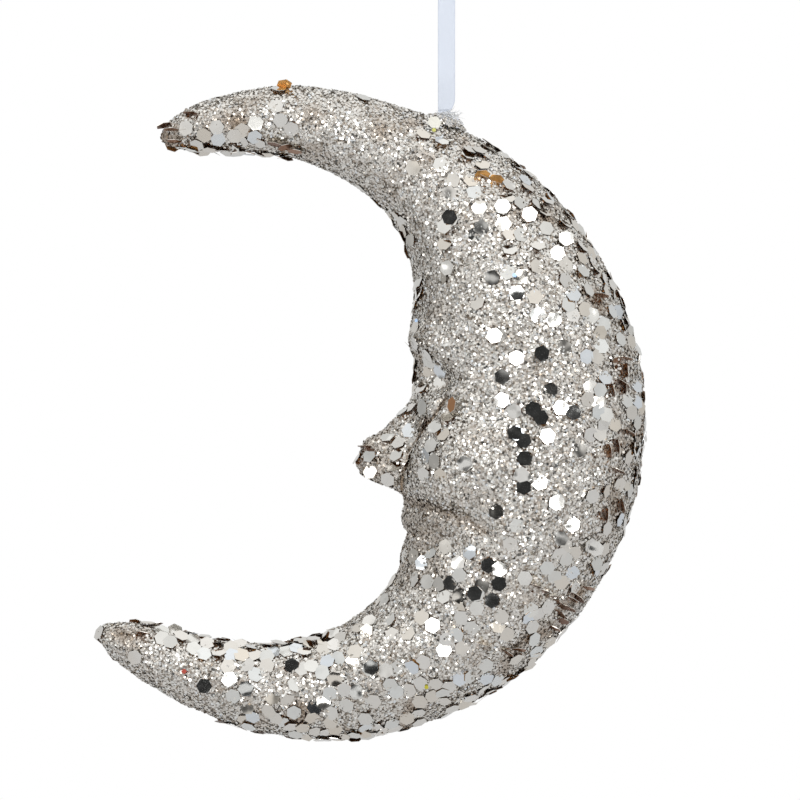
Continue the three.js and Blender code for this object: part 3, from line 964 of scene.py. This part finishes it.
def scatter(tree, given, spread, shape, first_seed, crowding=1.0):
    """Lifts points off the crust, and puts a leaning copy of a shape on each. Crowded ones lean more."""
    points, normal, rotation = spread.outputs[:3]
    seeds = [join(tree, "ADD", given["Seed"], float(first_seed + i)) for i in range(6)]
    lift = random_number(tree, given["Lowest"], given["Highest"], seeds[0])
    offset = join_vectors(tree, "SCALE", normal, join(tree, "MULTIPLY", lift, crowding))
    lifted = add_node(tree, "GeometryNodeSetPosition", Geometry=points, Offset=offset)
    most = join(tree, "MULTIPLY", given["Lean"], crowding)
    least = join(tree, "MULTIPLY", most, -1.0)
    turns = tree.nodes.new("ShaderNodeCombineXYZ")
    for axis in range(2):
        both = [random_number(tree, least, most, seeds[i + axis]) for i in (1, 3)]
        plug(tree, turns, axis, join(tree, "MULTIPLY", join(tree, "ADD", *both), 0.5))
    plug(tree, turns, 2, random_number(tree, 0.0, math.tau, seeds[5]))
    own_turn = add_node(tree, "FunctionNodeEulerToRotation", Euler=turns.outputs[0])
    turned = add_node(
        tree,
        "FunctionNodeRotateRotation",
        {"rotation_space": "LOCAL"},
        Rotation=rotation,
        Rotate_By=own_turn.outputs[0],
    )
    copies = add_node(
        tree,
        "GeometryNodeInstanceOnPoints",
        Points=lifted.outputs[0],
        Instance=shape,
        Rotation=turned.outputs[0],
        Scale=random_number(tree, given["Smallest"], given["Largest"], seeds[2]),
    )
    toned = labelled(tree, copies.outputs[0], "tone", random_number(tree, 0.0, 1.0, seeds[4]))
    real = add_node(tree, "GeometryNodeRealizeInstances", Geometry=toned).outputs[0]
    return add_node(
        tree, "GeometryNodeSetShadeSmooth", Geometry=real, Shade_Smooth=False
    ).outputs[0]


SCATTER_INPUTS = [("Seed", "Int")] + floats(
    "Density", "Across Flats", "Thickness", "Smallest", "Largest", "Lean", "Lowest", "Highest"
) + [("Finish", "Material")]


def flake_tree():
    tree, given, result = geometry_group("scattered_flakes", SCATTER_INPUTS)
    spread = add_node(
        tree,
        "GeometryNodeDistributePointsOnFaces",
        {"distribute_method": "RANDOM"},
        Mesh=given["Geometry"],
        Density=join(tree, "MULTIPLY", given["Density"], carried(tree, "flake_share")),
        Seed=given["Seed"],
    )
    cone = add_node(
        tree,
        "GeometryNodeMeshCone",
        {"fill_type": "NGON"},
        Vertices=6,
        Radius_Top=0.0,
        Radius_Bottom=join(tree, "DIVIDE", given["Across Flats"], math.sqrt(3)),
        Depth=given["Thickness"],
    )
    flipped = add_node(
        tree, "GeometryNodeTransform", Geometry=cone.outputs[0], Rotation=(math.pi, 0, 0)
    )
    flakes = scatter(tree, given, spread, flipped.outputs[0], 10)
    plug(tree, result, "Geometry", coated(tree, flakes, given["Finish"]))
    return tree


scattered_flakes = flake_tree()
print("tree:", scattered_flakes.name, len(scattered_flakes.nodes), "nodes")

# %% [markdown]
# ## Flake finish
#
# The film is a metal mirror under a thin lacquer. Its colour comes from the flake's own number. It is
# slightly rough, so that a flake shows one soft tone of what it mirrors instead of a sharp picture.

# %% Coat the flakes
def flake_finish():
    finish, tree, shader = new_finish("glitter_flake", Metallic=1.0, Roughness=0.17)
    # flakes darken with the stain number: brown glue, and painted shade in the folds and over the inner
    # hollow
    depth = join(tree, "MULTIPLY", own_number(tree, "stain"), 0.9)
    plug(tree, shader, "Base Color", film_colour(tree, own_number(tree, "tone"), depth))
    return finish


flake_look = flake_finish()


def bake_cells(made, per_copy, corners):
    """A map named OFBake, with one square cell for each copy.

    corners says where each of a copy's loops lies in its cell, from 0 to 1."""
    mesh = made.data
    copies = len(mesh.loops) // per_copy
    wide = math.ceil(math.sqrt(copies))
    cell = np.arange(copies)
    low = np.stack([cell % wide, cell // wide], 1)[:, None, :]
    places = (low + np.array(corners)[None, :, :]) / wide
    layer = mesh.uv_layers.new(name="OFBake")
    layer.data.foreach_set("uv", places.astype(np.float32).ravel())
    return copies


def hexagon_corner(index, reach, middle=(0.5, 0.5)):
    turn = index * math.pi / 3
    return (middle[0] + reach * math.cos(turn), middle[1] + reach * math.sin(turn))


FLAKE_LOOPS = 24  # of one copy: six corners of its top, and three of each side
FLAKE_REACH = 0.42  # of its top in its cell


def flake_cells(made):
    """The OFBake map for flakes: each one's hexagon, with its point in the middle."""
    loops = [loop.vertex_index for loop in made.data.loops[:FLAKE_LOOPS]]
    ring = [v for v in range(7) if loops.count(v) == 3]
    corners = [hexagon_corner(ring.index(v), FLAKE_REACH) if v in ring else (0.5, 0.5) for v in loops]
    return bake_cells(made, FLAKE_LOOPS, corners)


print("finish:", flake_look.name)

# %% [markdown]
# One mesh of all the flakes would be too heavy to handle, so they are sprinkled in layers. Each layer
# has its own seed and its own size of flake, and the last ones are finer and lean more, as the dust
# that fell last does.

# %% Sprinkle the layers
LAYERS = [
    # name, width across flats, lean, lowest and highest
    ("fine_glitter_a", 0.00056, 0.36, 0.00002, 0.00016),
    ("fine_glitter_b", 0.00054, 0.44, 0.00004, 0.00020),
    ("fine_glitter_c", 0.00052, 0.52, 0.00006, 0.00024),
    ("fine_glitter_d", 0.00050, 0.62, 0.00008, 0.00028),
    ("fine_glitter_e", 0.00048, 0.75, 0.00010, 0.00034),
]
FLAKES_A_SQUARE_METRE = 1.15e6
FLAKE_THICKNESS = 0.00012
FIRST_SEED = 11


def sprinkle(made, seed, density, across, thickness, lean, lowest, highest):
    """Turns a piece into the flakes that lie on it, and returns how many there are."""
    run_tree(
        made,
        scattered_flakes,
        seed=seed,
        density=density,
        across_flats=across,
        thickness=thickness,
        smallest=0.8,
        largest=1.15,
        lean=lean,
        lowest=lowest,
        highest=highest,
        finish=flake_look,
    )
    return flake_cells(made)


flake_count = 0
for number, (name, across, *lie) in enumerate(LAYERS):
    layer = add_object(name, crust.data)
    dose = (FIRST_SEED + number, FLAKES_A_SQUARE_METRE)
    flake_count += sprinkle(layer, *dose, across, FLAKE_THICKNESS, *lie)
    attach(layer, "moon")
    print(name, len(layer.data.polygons), "faces")
print("flakes:", flake_count)

# %% [markdown]
# ## Sequins
#
# A sequin is punched from stiffer film, a flat hexagon about 3 mm across. Its upper side is a clean
# mirror, and its underside is amber lacquer, which shows as brown gaps where sequins overlap. They
# are scattered like the flakes, but never closer than about two thirds of their width.

# %% Coat the sequins
BOWS_A_METRE = 230.0
BOW = 0.00030
SEQUIN_TONES = [
    (0.0, (0.69, 0.635, 0.55)), (0.22, (0.71, 0.68, 0.625)), (0.50, (0.74, 0.725, 0.69)),
    (0.72, (0.70, 0.695, 0.66)), (0.88, (0.73, 0.745, 0.73)), (1.0, (0.71, 0.76, 0.81)),
]
SCUFFED = (0.66, 0.64, 0.60)
AMBER_TONES = [(0.0, (0.13, 0.05, 0.02)), (0.6, (0.34, 0.16, 0.065)), (1.0, (0.74, 0.40, 0.13))]


def film_and_scuffs(tree, shader, tone):
    """The film's own tone, a little duller and rougher where it is scuffed."""
    scuff = noise_map(tree, 900.0, 5.0)
    wear = join(tree, "MULTIPLY_ADD", scuff, 0.5, -0.14, clamp=True)
    colour = mix_colours(tree, wear, ramp(tree, tone, SEQUIN_TONES), SCUFFED)
    plug(tree, shader, "Base Color", colour)
    plug(tree, shader, "Roughness", join(tree, "MULTIPLY_ADD", scuff, 0.10, 0.05))
    # punched film is never quite flat, so a slow noise bows it by a few degrees
    plug(tree, shader, "Normal", bumped(tree, noise_map(tree, BOWS_A_METRE, 1.0), 1.0, BOW))


def sequin_finish():
    """The bright side: nearly a mirror, with faint scuffs."""
    finish, tree, shader = new_finish("sequin_film", Metallic=1.0)
    film_and_scuffs(tree, shader, own_number(tree, "tone"))
    return finish


def underside_finish():
    finish, tree, shader = new_finish("sequin_underside", Metallic=0.75, Roughness=0.3)
    plug(tree, shader, "Base Color", ramp(tree, own_number(tree, "tone"), AMBER_TONES))
    return finish


sequin_look, underside_look = sequin_finish(), underside_finish()
print("finishes:", sequin_look.name, "and", underside_look.name)

# %% [markdown]
# Their tree is the flakes' tree with a few changes. The points keep a distance from each other. The
# shape is a flat hexagon, and its lower side is marked before it is copied, so that the lacquer finds
# it. Where sequins lie close together they lean more, because they rest on one another.

# %% Build the tree that scatters sequins
def sequin_tree():
    inputs = SCATTER_INPUTS + floats("Least Distance") + [("Underside", "Material")]
    tree, given, result = geometry_group("scattered_sequins", inputs)
    share = carried(tree, "sequin_share")
    spread = add_node(
        tree,
        "GeometryNodeDistributePointsOnFaces",
        {"distribute_method": "POISSON"},
        Mesh=given["Geometry"],
        Distance_Min=given["Least Distance"],
        Density_Max=given["Density"],
        Density_Factor=share,
        Seed=given["Seed"],
    )
    blank = add_node(
        tree,
        "GeometryNodeMeshCylinder",
        {"fill_type": "NGON"},
        Vertices=6,
        Radius=join(tree, "DIVIDE", given["Across Flats"], math.sqrt(3)),
        Depth=given["Thickness"],
    )
    shape = labelled(
        tree, blank.outputs[0], "underside", blank.outputs["Bottom"], "BOOLEAN", "FACE"
    )
    sequins = scatter(tree, given, spread, shape, 40, join(tree, "MULTIPLY_ADD", share, 0.9, 0.5))
    bright = coated(tree, sequins, given["Finish"])
    below = carried(tree, "underside", "BOOLEAN")
    plug(tree, result, "Geometry", coated(tree, bright, given["Underside"], Selection=below))
    return tree


scattered_sequins = sequin_tree()
print("tree:", scattered_sequins.name, len(scattered_sequins.nodes), "nodes")

# %% [markdown]
# Every sequin gets a place of its own in a map named OFBake: a square cell, with its top and its edges
# in the left half, and its underside in the right.

# %% Scatter the sequins
SEQUIN_FACES = 8  # of one copy: its top, its underside and six edges
SEQUIN_LOOPS = 36  # of one copy: six each for top and underside, and four for each edge
TOP_MIDDLE, UNDERSIDE_MIDDLE = (0.25, 0.5), (0.75, 0.5)
TOP_REACH, EDGE_REACH, UNDERSIDE_REACH = 0.17, 0.23, 0.22


def sequin_cells(made):
    """The OFBake map for sequins. Returns how many there are."""
    mesh = made.data
    one = mesh.polygons[:SEQUIN_FACES]
    ring = {face.index: list(face.vertices) for face in one if len(face.vertices) == 6}
    top, bottom = sorted(ring, key=lambda f: mesh.polygons[f].material_index)
    corners = []
    for face in one:
        for vertex in face.vertices:
            if face.index == bottom:
                index = ring[bottom].index(vertex)
                corners.append(hexagon_corner(index, UNDERSIDE_REACH, UNDERSIDE_MIDDLE))
                continue
            at = mesh.vertices[vertex].co
            above = min(ring[top], key=lambda v: (mesh.vertices[v].co - at).length)
            reach = EDGE_REACH if vertex in ring[bottom] else TOP_REACH
            corners.append(hexagon_corner(ring[top].index(above), reach, TOP_MIDDLE))
    return bake_cells(made, SEQUIN_LOOPS, corners)


sequins = add_object("sequins", crust.data)
run_tree(
    sequins,
    scattered_sequins,
    seed=5,
    density=0.33e6,
    least_distance=0.00185,
    across_flats=SEQUIN_WIDTH,
    thickness=0.00008,
    smallest=0.97,
    largest=1.03,
    lean=0.38,
    lowest=0.00022,
    highest=0.00052,
    finish=sequin_look,
    underside=underside_look,
)
print("sequins:", sequin_cells(sequins))
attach(sequins, "moon")

# %% [markdown]
# The listed sequins use the same film. Each is built from its middle and the way it faces. A dark
# one faces the camera, and a white one halfway between the camera and the lamp. Pale ones lie almost
# flat on the crust. Amber, rust, gold and copper ones turn their bright side away from the camera, so
# that their lacquer shows.

# %% Lay the sequins that stand out
KEY_LAMP = Vector((-0.03, -0.93, 0.32)).normalized()  # the way to the main lamp, from the moon
TO_CAMERA = Vector((0, -1, 0))
HAND_THICKNESS = 0.00008
HAND_REACH = SEQUIN_WIDTH / math.sqrt(3)
OVER_FIXED = 0.00020  # more, where one lies over a sequin of the solid model
KINDS = {
    # its own way, how much of the crust's normal joins it, wobble, lift, tone, and the tone's spread
    "dark": (TO_CAMERA * 0.965, 0.035, 0.04, 0.00055, 0.8, 0),
    "grey": (TO_CAMERA + Vector((-0.125, 0, -0.09)), 0, 0.02, 0.00055, 0.6, 0),
    "white": ((TO_CAMERA + KEY_LAMP).normalized() * 0.96, 0.04, 0.02, 0.00055, 0.6, 0),
    "amber": (Vector((0.1, 0.44, 0.9)), 0.35, 0.2, 0.0007, 0.2, 0.2),
    "rust": (Vector((0.9, 0.36, 0.1)), 0.25, 0.15, 0.0006, 0.2, 0.2),
    "gold": (Vector((0.1, 0.55, 0.8)), 0, 0.1, 0.0009, 1.0, 0),
    "copper": (Vector((0.85, 0.5, -0.1)), 0, 0, 0.0009, 0.62, 0),
    "pale": (Vector((0.1, 0.2, 0.3)), 1, 0.16, 0.00045, 0.45, 0.35),
}


def hexagon_plate(places, faces, turn, reach, upper, lower):
    """Adds a closed hexagon: its upper side about one middle, and its lower side about another."""
    start = len(places)
    for middle in (upper, lower):
        for i in range(6):
            places.append(middle + turn @ Vector((*hexagon_corner(i, reach, (0, 0)), 0)))
    top, bottom = ([start + first + i for i in range(6)] for first in (0, 6))
    faces += [top, bottom[::-1]]
    for i in range(6):
        j = (i + 1) % 6
        faces.append([top[j], top[i], bottom[i], bottom[j]])


def hand_laid(name, rows):
    places, faces, tones = [], [], []
    for number, (kind, hit, normal) in enumerate(rows):
        way, share, wobble, lift, tone, spread = KINDS[kind]
        # the steps of these angles have no common measure, so no two sequins lie alike
        sway = Vector((math.sin(number * 2.1), 0, math.cos(number * 3.7))) * wobble
        facing = (way + normal * share + sway).normalized()
        turn = facing.to_track_quat("Z", "Y").to_matrix() @ Matrix.Rotation(number * 1.3, 3, "Z")
        if min((hit - place).length for place in fixed_places) < SEQUIN_WIDTH:
            # it rests on an edge, so the steeper it lies the higher its middle is
            lift += OVER_FIXED + HAND_REACH * facing.cross(normal).length
        middle = hit + normal * lift
        half = turn @ Vector((0, 0, HAND_THICKNESS / 2))
        hexagon_plate(places, faces, turn, HAND_REACH, middle + half, middle - half)
        tones += [tone + spread * math.sin(number * 2.4)] * 12
    made = built(name, places, faces, sequin_look, underside_look)
    made.data.polygons.foreach_set("material_index", [0, 1, 0, 0, 0, 0, 0, 0] * len(rows))
    store(made.data, "tone", tones)
    return made


standout = hand_laid("standout_sequins", hand_places)
sequin_cells(standout)
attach(standout, "moon")
print("hand-laid sequins:", len(standout.data.polygons) // SEQUIN_FACES)

# %% [markdown]
# A few flakes of other glitter always get in. There is a red one on the lower horn, a yellow one below
# the bend, two pale blue ones over the middle, and a cream sequin with a yellow-green flake on its edge
# high on the rim. Each carries its own colour.

# %% Drop the stray flakes
STRAY_FLAKES = [
    # colour, across, up, width in millimetres
    ((0.72, 0.14, 0.10), -29.3, -52.5, 1.1),
    ((0.66, 0.60, 0.06), 21.1, -55.2, 0.9),
    ((0.48, 0.66, 0.92), 39.2, 29.6, 1.0),
    ((0.50, 0.68, 0.94), 19.7, 20.4, 0.8),
    ((0.98, 0.96, 0.86), 22.4, 60.9, 3.0),
    ((0.74, 0.74, 0.20), 22.5, 59.7, 0.9),
]
STRAY_HEIGHTS = (0.00062, 0.00054)  # of its two sides over the crust


def stray_finish():
    finish, tree, shader = new_finish("stray_film", Metallic=0.45, Roughness=0.3)
    tint = add_node(tree, "ShaderNodeAttribute", {"attribute_name": "tint"}).outputs["Color"]
    worn = mix_colours(tree, 0.25, tint, noise_map(tree, 1800.0), "MULTIPLY")
    plug(tree, shader, "Base Color", worn)
    return finish


def stray_flakes():
    places, faces, colours = [], [], []
    for colour, x, z, width in STRAY_FLAKES:
        hit, normal = sight(x, z)
        hit += normal * width / 4000
        turn = (normal + TO_CAMERA).to_track_quat("Z", "Y")
        upper, lower = (hit + normal * height for height in STRAY_HEIGHTS)
        hexagon_plate(places, faces, turn, width / 2000, upper, lower)
        colours += [(*colour, 1)] * 12
    made = built("stray_flakes", places, faces, stray_finish())
    tint = made.data.attributes.new("tint", "FLOAT_COLOR", "POINT")
    tint.data.foreach_set("color", np.array(colours, np.float32).ravel())
    return made


strays = stray_flakes()
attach(strays, "moon")
print("stray flakes:", len(STRAY_FLAKES))

# %% [markdown]
# The solid model has sequins of its own on both sides. Their shape is right, so they stay. They carry
# no number for colour, so a slow noise over the moon stands in for it.

# %% Coat the sequins of the solid model
def fixed_sequin_finish():
    finish, tree, shader = new_finish("sequin_film_fixed", Metallic=1.0)
    tone = join(tree, "MULTIPLY_ADD", noise_map(tree, 70.0, 0.0), 1.8, -0.35, clamp=True)
    film_and_scuffs(tree, shader, tone)
    return finish


def recoat(names, finish):
    for name in names:
        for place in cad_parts[name].material_slots:
            place.material = finish


recoat(fixed_sequins, fixed_sequin_finish())
print("recoated:", len(fixed_sequins))

# %% [markdown]
# ## Foam
#
# The core is a bead foam. It is hidden, but it shows when the coat is taken off, so it gets the round
# beads and fine seams of expanded foam.

# %% Coat the foam
BEADS_A_METRE = 380.0
BEAD_COLOUR = (0.90, 0.89, 0.86)
SEAM_COLOUR = (0.74, 0.72, 0.68)


def foam_finish():
    finish, tree, shader = new_finish("bead_foam", Roughness=0.85, Subsurface_Weight=0.1)
    to_seam = {"feature": "DISTANCE_TO_EDGE"}
    places = object_places(tree)
    beads = add_node(tree, "ShaderNodeTexVoronoi", to_seam, Vector=places, Scale=BEADS_A_METRE)
    beads = beads.outputs[0]
    seam = join(tree, "SUBTRACT", 1.0, join(tree, "MULTIPLY", beads, 7.0), clamp=True)
    plug(tree, shader, "Base Color", mix_colours(tree, seam, BEAD_COLOUR, SEAM_COLOUR))
    plug(tree, shader, "Normal", bumped(tree, beads, 0.5, 0.0003))
    return finish


recoat(["foam_core"], foam_finish())
print("recoated: foam_core")

# %% [markdown]
# ## Glue
#
# Hot-melt glue is milky and a little glossy, and glitter dust clings to it. The plug's shape is right
# and stays, so it only gets its finish here.

# %% Coat the glue
CLEAR_MILK, WHITE_MILK = (0.82, 0.83, 0.83), (0.95, 0.955, 0.95)
DUST_COLOUR = (0.66, 0.60, 0.50)
SPECKS_A_METRE = 1500.0


def glue_finish():
    finish, tree, shader = new_finish(
        "clear_glue",
        Roughness=0.25,
        Subsurface_Weight=0.4,
        Subsurface_Radius=(0.002, 0.0018, 0.0015),
        Subsurface_Scale=1.0,
        Coat_Weight=0.3,
    )
    cloud = noise_map(tree, 900.0, 4.0)
    places = object_places(tree)
    specks = add_node(tree, "ShaderNodeTexVoronoi", Vector=places, Scale=SPECKS_A_METRE)
    dust = join(tree, "LESS_THAN", specks.outputs["Distance"], 0.20)
    milk = mix_colours(tree, cloud, CLEAR_MILK, WHITE_MILK)
    colour = mix_colours(tree, join(tree, "MULTIPLY", dust, 0.4), milk, DUST_COLOUR)
    plug(tree, shader, "Base Color", colour)
    plug(tree, shader, "Normal", bumped(tree, cloud, 0.4, 0.0002))
    return finish


glue_look = glue_finish()
recoat(["glue_plug"], glue_look)
print("recoated: glue_plug")

# %% [markdown]
# The plug lacks what hot-melt glue leaves when the gun is pulled away. First come the lumps at the
# ribbon's foot: balls with a noise on their surface, flattened and set on the slope of the moon. Then
# flakes cling to the plug's head, scattered by the same tree as on the crust.

# %% Set the lumps and let flakes cling
GLUE_LUMPS = [
    # middle, half sizes and slope: the lump at the ribbon's foot, and a smaller one downhill
    ((-0.35, 0.0, -61.2), (1.9, 1.1, 0.9), 0.22),
    ((1.9, -0.3, -61.9), (1.5, 1.3, 0.6), 0.5),
]
RIBBON_FOOT = 62.0  # millimetres below the hook
SHANK_TOP = -0.0658


def glue_collar():
    places, faces = [], []
    for middle, half, slope in GLUE_LUMPS:
        ball = bmesh.new()
        bmesh.ops.create_icosphere(ball, subdivisions=4, radius=1.0)
        ball.verts.index_update()
        start = len(places)
        for vertex in ball.verts:
            co = vertex.co
            swell = 1 + 0.34 * noise.noise(co * 1.7 + Vector(middle)) + 0.2 * noise.noise(co * 4.5)
            x, y, z = (co[i] * half[i] * swell for i in range(3))
            places.append((Vector(middle) + Vector((x, y, z - slope * x))) / 1000)
        faces += [tuple(start + v.index for v in face.verts) for face in ball.faces]
        ball.free()
    return built("glue_collar", places, faces, glue_look, smooth=True)


def head_of_plug():
    """The part of the plug that lies on the coat, without its underside and its shank."""
    head = bmesh.new()
    head.from_mesh(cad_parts["glue_plug"].data)
    out = Vector((-CIRCLE_X, 0, -CIRCLE_Z - RIBBON_FOOT)).normalized()
    hidden = [
        f for f in head.faces if f.normal.dot(out) < -0.2 or f.calc_center_median().z < SHANK_TOP
    ]
    bmesh.ops.delete(head, geom=hidden, context="FACES")
    mesh = bpy.data.meshes.new("head_of_plug")
    head.to_mesh(mesh)
    head.free()
    return mesh


def glue_dust():
    """Flakes that cling to the glue: few at the ribbon, and as many as on the crust further out."""
    dust = add_object("glue_dust", head_of_plug())
    from_ribbon = np.array([math.hypot(v.co.x, v.co.y * 1.2) * 1000 for v in dust.data.vertices])
    store(dust.data, "flake_share", np.clip((from_ribbon - 2.4) / 1.0, 0.03, 1))
    store(dust.data, "stain", np.full(len(from_ribbon), 0.1))
    sprinkle(
        dust,
        seed=71,
        density=6.5e6,
        across=0.00050,
        thickness=0.00010,
        lean=0.6,
        lowest=0.00002,
        highest=0.00016,
    )
    return dust


collar = glue_collar()
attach(collar, "moon")
dust = glue_dust()
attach(dust, "moon")
print("glue lumps:", len(collar.data.polygons), "faces, dust:", len(dust.data.polygons), "faces")

# %% [markdown]
# Last come the curled shreds that fan out from the ribbon's foot. Each is a thin closed tube along a
# curl, and thickest at its start.

# %% Pull the strings of glue
STRING_SIDES = 6
STRINGS = 64
CURL_STEPS = 10


def glue_string(places, faces, points, thickness):
    """Adds one closed string that is thickest at its start."""
    faces += tube_faces(STRING_SIDES, len(points), len(places))
    for i, point in enumerate(points):
        before, after = points[max(i - 1, 0)], points[min(i + 1, len(points) - 1)]
        turn = (after - before).to_track_quat("Z", "Y")
        reach = thickness * (1 - 0.75 * i / (len(points) - 1))
        for k in range(STRING_SIDES):
            places.append(point + turn @ Vector((*hexagon_corner(k, reach, (0, 0)), 0)))


def glue_strings():
    """Curled shreds that fan out from the foot of the ribbon, mostly downhill to the right."""
    draw = np.random.default_rng(7)
    places, faces = [], []
    for number in range(STRINGS):
        right = number % 3 > 0
        lean = math.radians(draw.uniform(-42, 34) if right else draw.uniform(150, 196))
        way = Vector((math.cos(lean), draw.uniform(-0.5, 0.5), math.sin(lean)))
        reach = draw.uniform(0.7, 2.6) * (1.0 if right else 0.8)
        start = Vector((draw.uniform(-1.9, 1.6), draw.uniform(-1.3, 0.4), draw.uniform(-61.6, -60.4)))
        curl, first = draw.uniform(0.1, 0.42), draw.uniform(0, math.tau)
        points = []
        for i in range(CURL_STEPS + 1):
            share = i / CURL_STEPS
            turn = first + share * draw.uniform(4.0, 7.0)
            point = start + way * reach * share
            point += Vector((math.cos(turn), 0.6 * math.sin(turn), math.sin(turn))) * curl * share
            points.append(point / 1000)
        glue_string(places, faces, points, draw.uniform(0.00008, 0.00026))
    return built("glue_strings", places, faces, glue_look, smooth=True)


strings = glue_strings()
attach(strings, "moon")
print("glue strings:", len(strings.data.polygons), "faces")

# %% [markdown]
# ## Studio
#
# A white, even studio: the sky is white all round, a soft lamp stands a little above the camera, two
# weaker ones stand at the sides, and a large one hangs over the moon. Mirrors show what is around
# them, and in a real studio the side where the camera stands is darker. So the sky has a dark patch
# there, and a darker left side, which only mirrors see.

# %% Hang the sky
SKY_LEVELS = [
    # from straight behind the moon, 0, to the camera, 1
    (0.0, 0.78), (0.35, 0.73), (0.55, 0.75), (0.75, 0.88), (0.88, 1.04), (0.955, 1.02),
    (0.973, 0.80), (0.981, 0.22), (0.988, 0.06), (1.0, 0.03),
]
SKY_BY_HEIGHT = [(0.0, 0.72), (0.42, 0.82), (0.6, 1.0), (0.85, 1.14)]  # 0 is straight down
SKY_BY_SIDE = [(0.0, 0.64), (0.08, 0.92), (0.18, 1.0)]  # 0 is the far left
LIGHT_COLOUR = (0.72, 0.72, 0.73)  # what lights everything but mirrors


def grey_ramp(tree, value, levels):
    return ramp(tree, value, [(place, (level,) * 3) for place, level in levels])


def studio_sky():
    sky = bpy.data.worlds.new("studio_sky")
    scene.world = sky
    sky.use_nodes = True
    tree = sky.node_tree
    tree.nodes.clear()
    way = tree.nodes.new("ShaderNodeTexCoord").outputs["Generated"]
    toward = join_vectors(tree, "DOT_PRODUCT", way, tuple(TO_CAMERA))
    mirrored = grey_ramp(tree, join(tree, "MULTIPLY_ADD", toward, 0.5, 0.5), SKY_LEVELS)
    parts = add_node(tree, "ShaderNodeSeparateXYZ", Vector=way)
    for axis, levels in ((2, SKY_BY_HEIGHT), (0, SKY_BY_SIDE)):
        share = join(tree, "MULTIPLY_ADD", parts.outputs[axis], 0.5, 0.5)
        mirrored = mix_colours(tree, 1.0, mirrored, grey_ramp(tree, share, levels), "MULTIPLY")
    ray = tree.nodes.new("ShaderNodeLightPath").outputs
    seen = join(tree, "MAXIMUM", ray["Is Camera Ray"], ray["Is Transmission Ray"])
    for_light = mix_colours(tree, ray["Is Glossy Ray"], LIGHT_COLOUR, mirrored)
    colour = mix_colours(tree, seen, for_light, (1.0, 1.0, 1.0))
    shine = add_node(tree, "ShaderNodeBackground", Color=colour, Strength=1.0)
    add_node(tree, "ShaderNodeOutputWorld", Surface=shine.outputs[0])
    return sky


print("sky:", studio_sky().name)

# %% [markdown]
# Each lamp is a glowing square. Its size sets how soft the shadows are and how large its mirror image
# in a sequin is. Each one is placed by the way and the distance from the moon's middle.

# %% Hang the lamps
MOON_MIDDLE = Vector((-0.012, 0, -0.122))
LAMPS = [
    # name, way, distance, size and power
    ("key_lamp", KEY_LAMP, 1.1, 0.30, 1.9),
    ("right_lamp", Vector((0.50, -0.86, 0.12)), 1.2, 0.24, 0.95),
    ("left_lamp", Vector((-0.85, -0.5, 0.35)), 1.2, 0.34, 0.5),
    ("top_lamp", Vector((0.1, 0.15, 1.0)), 1.0, 1.2, 1.4),
]


def soft_lamp(name, toward, distance, size, power):
    lamp = bpy.data.lights.new(name, "AREA")
    lamp.shape = "SQUARE"
    lamp.size = size
    lamp.energy = power
    made = add_object(name, lamp)
    made.location = MOON_MIDDLE + toward.normalized() * distance
    made.rotation_euler = (-toward).to_track_quat("-Z", "Y").to_euler()
    return made


lamps = [soft_lamp(*row) for row in LAMPS]
print("lamps:", [lamp.name for lamp in lamps])

# %% [markdown]
# The floor is a sheet of white paper well below the moon.

# %% Lay the floor
FLOOR_REACH = 0.7
FLOOR_HEIGHT = -0.28


def studio_floor():
    finish, tree, shader = new_finish("floor_paper", Roughness=0.9)
    paper = mix_colours(tree, noise_map(tree, 60.0), (0.80, 0.80, 0.80), (0.83, 0.83, 0.83))
    plug(tree, shader, "Base Color", paper)
    ends = (-FLOOR_REACH, FLOOR_REACH)
    corners = [(x, y, FLOOR_HEIGHT) for y in ends for x in ends]
    return built("floor", corners, [(0, 1, 3, 2)], finish)


floor = studio_floor()
print("floor:", tuple(round(c, 2) for c in floor.dimensions))
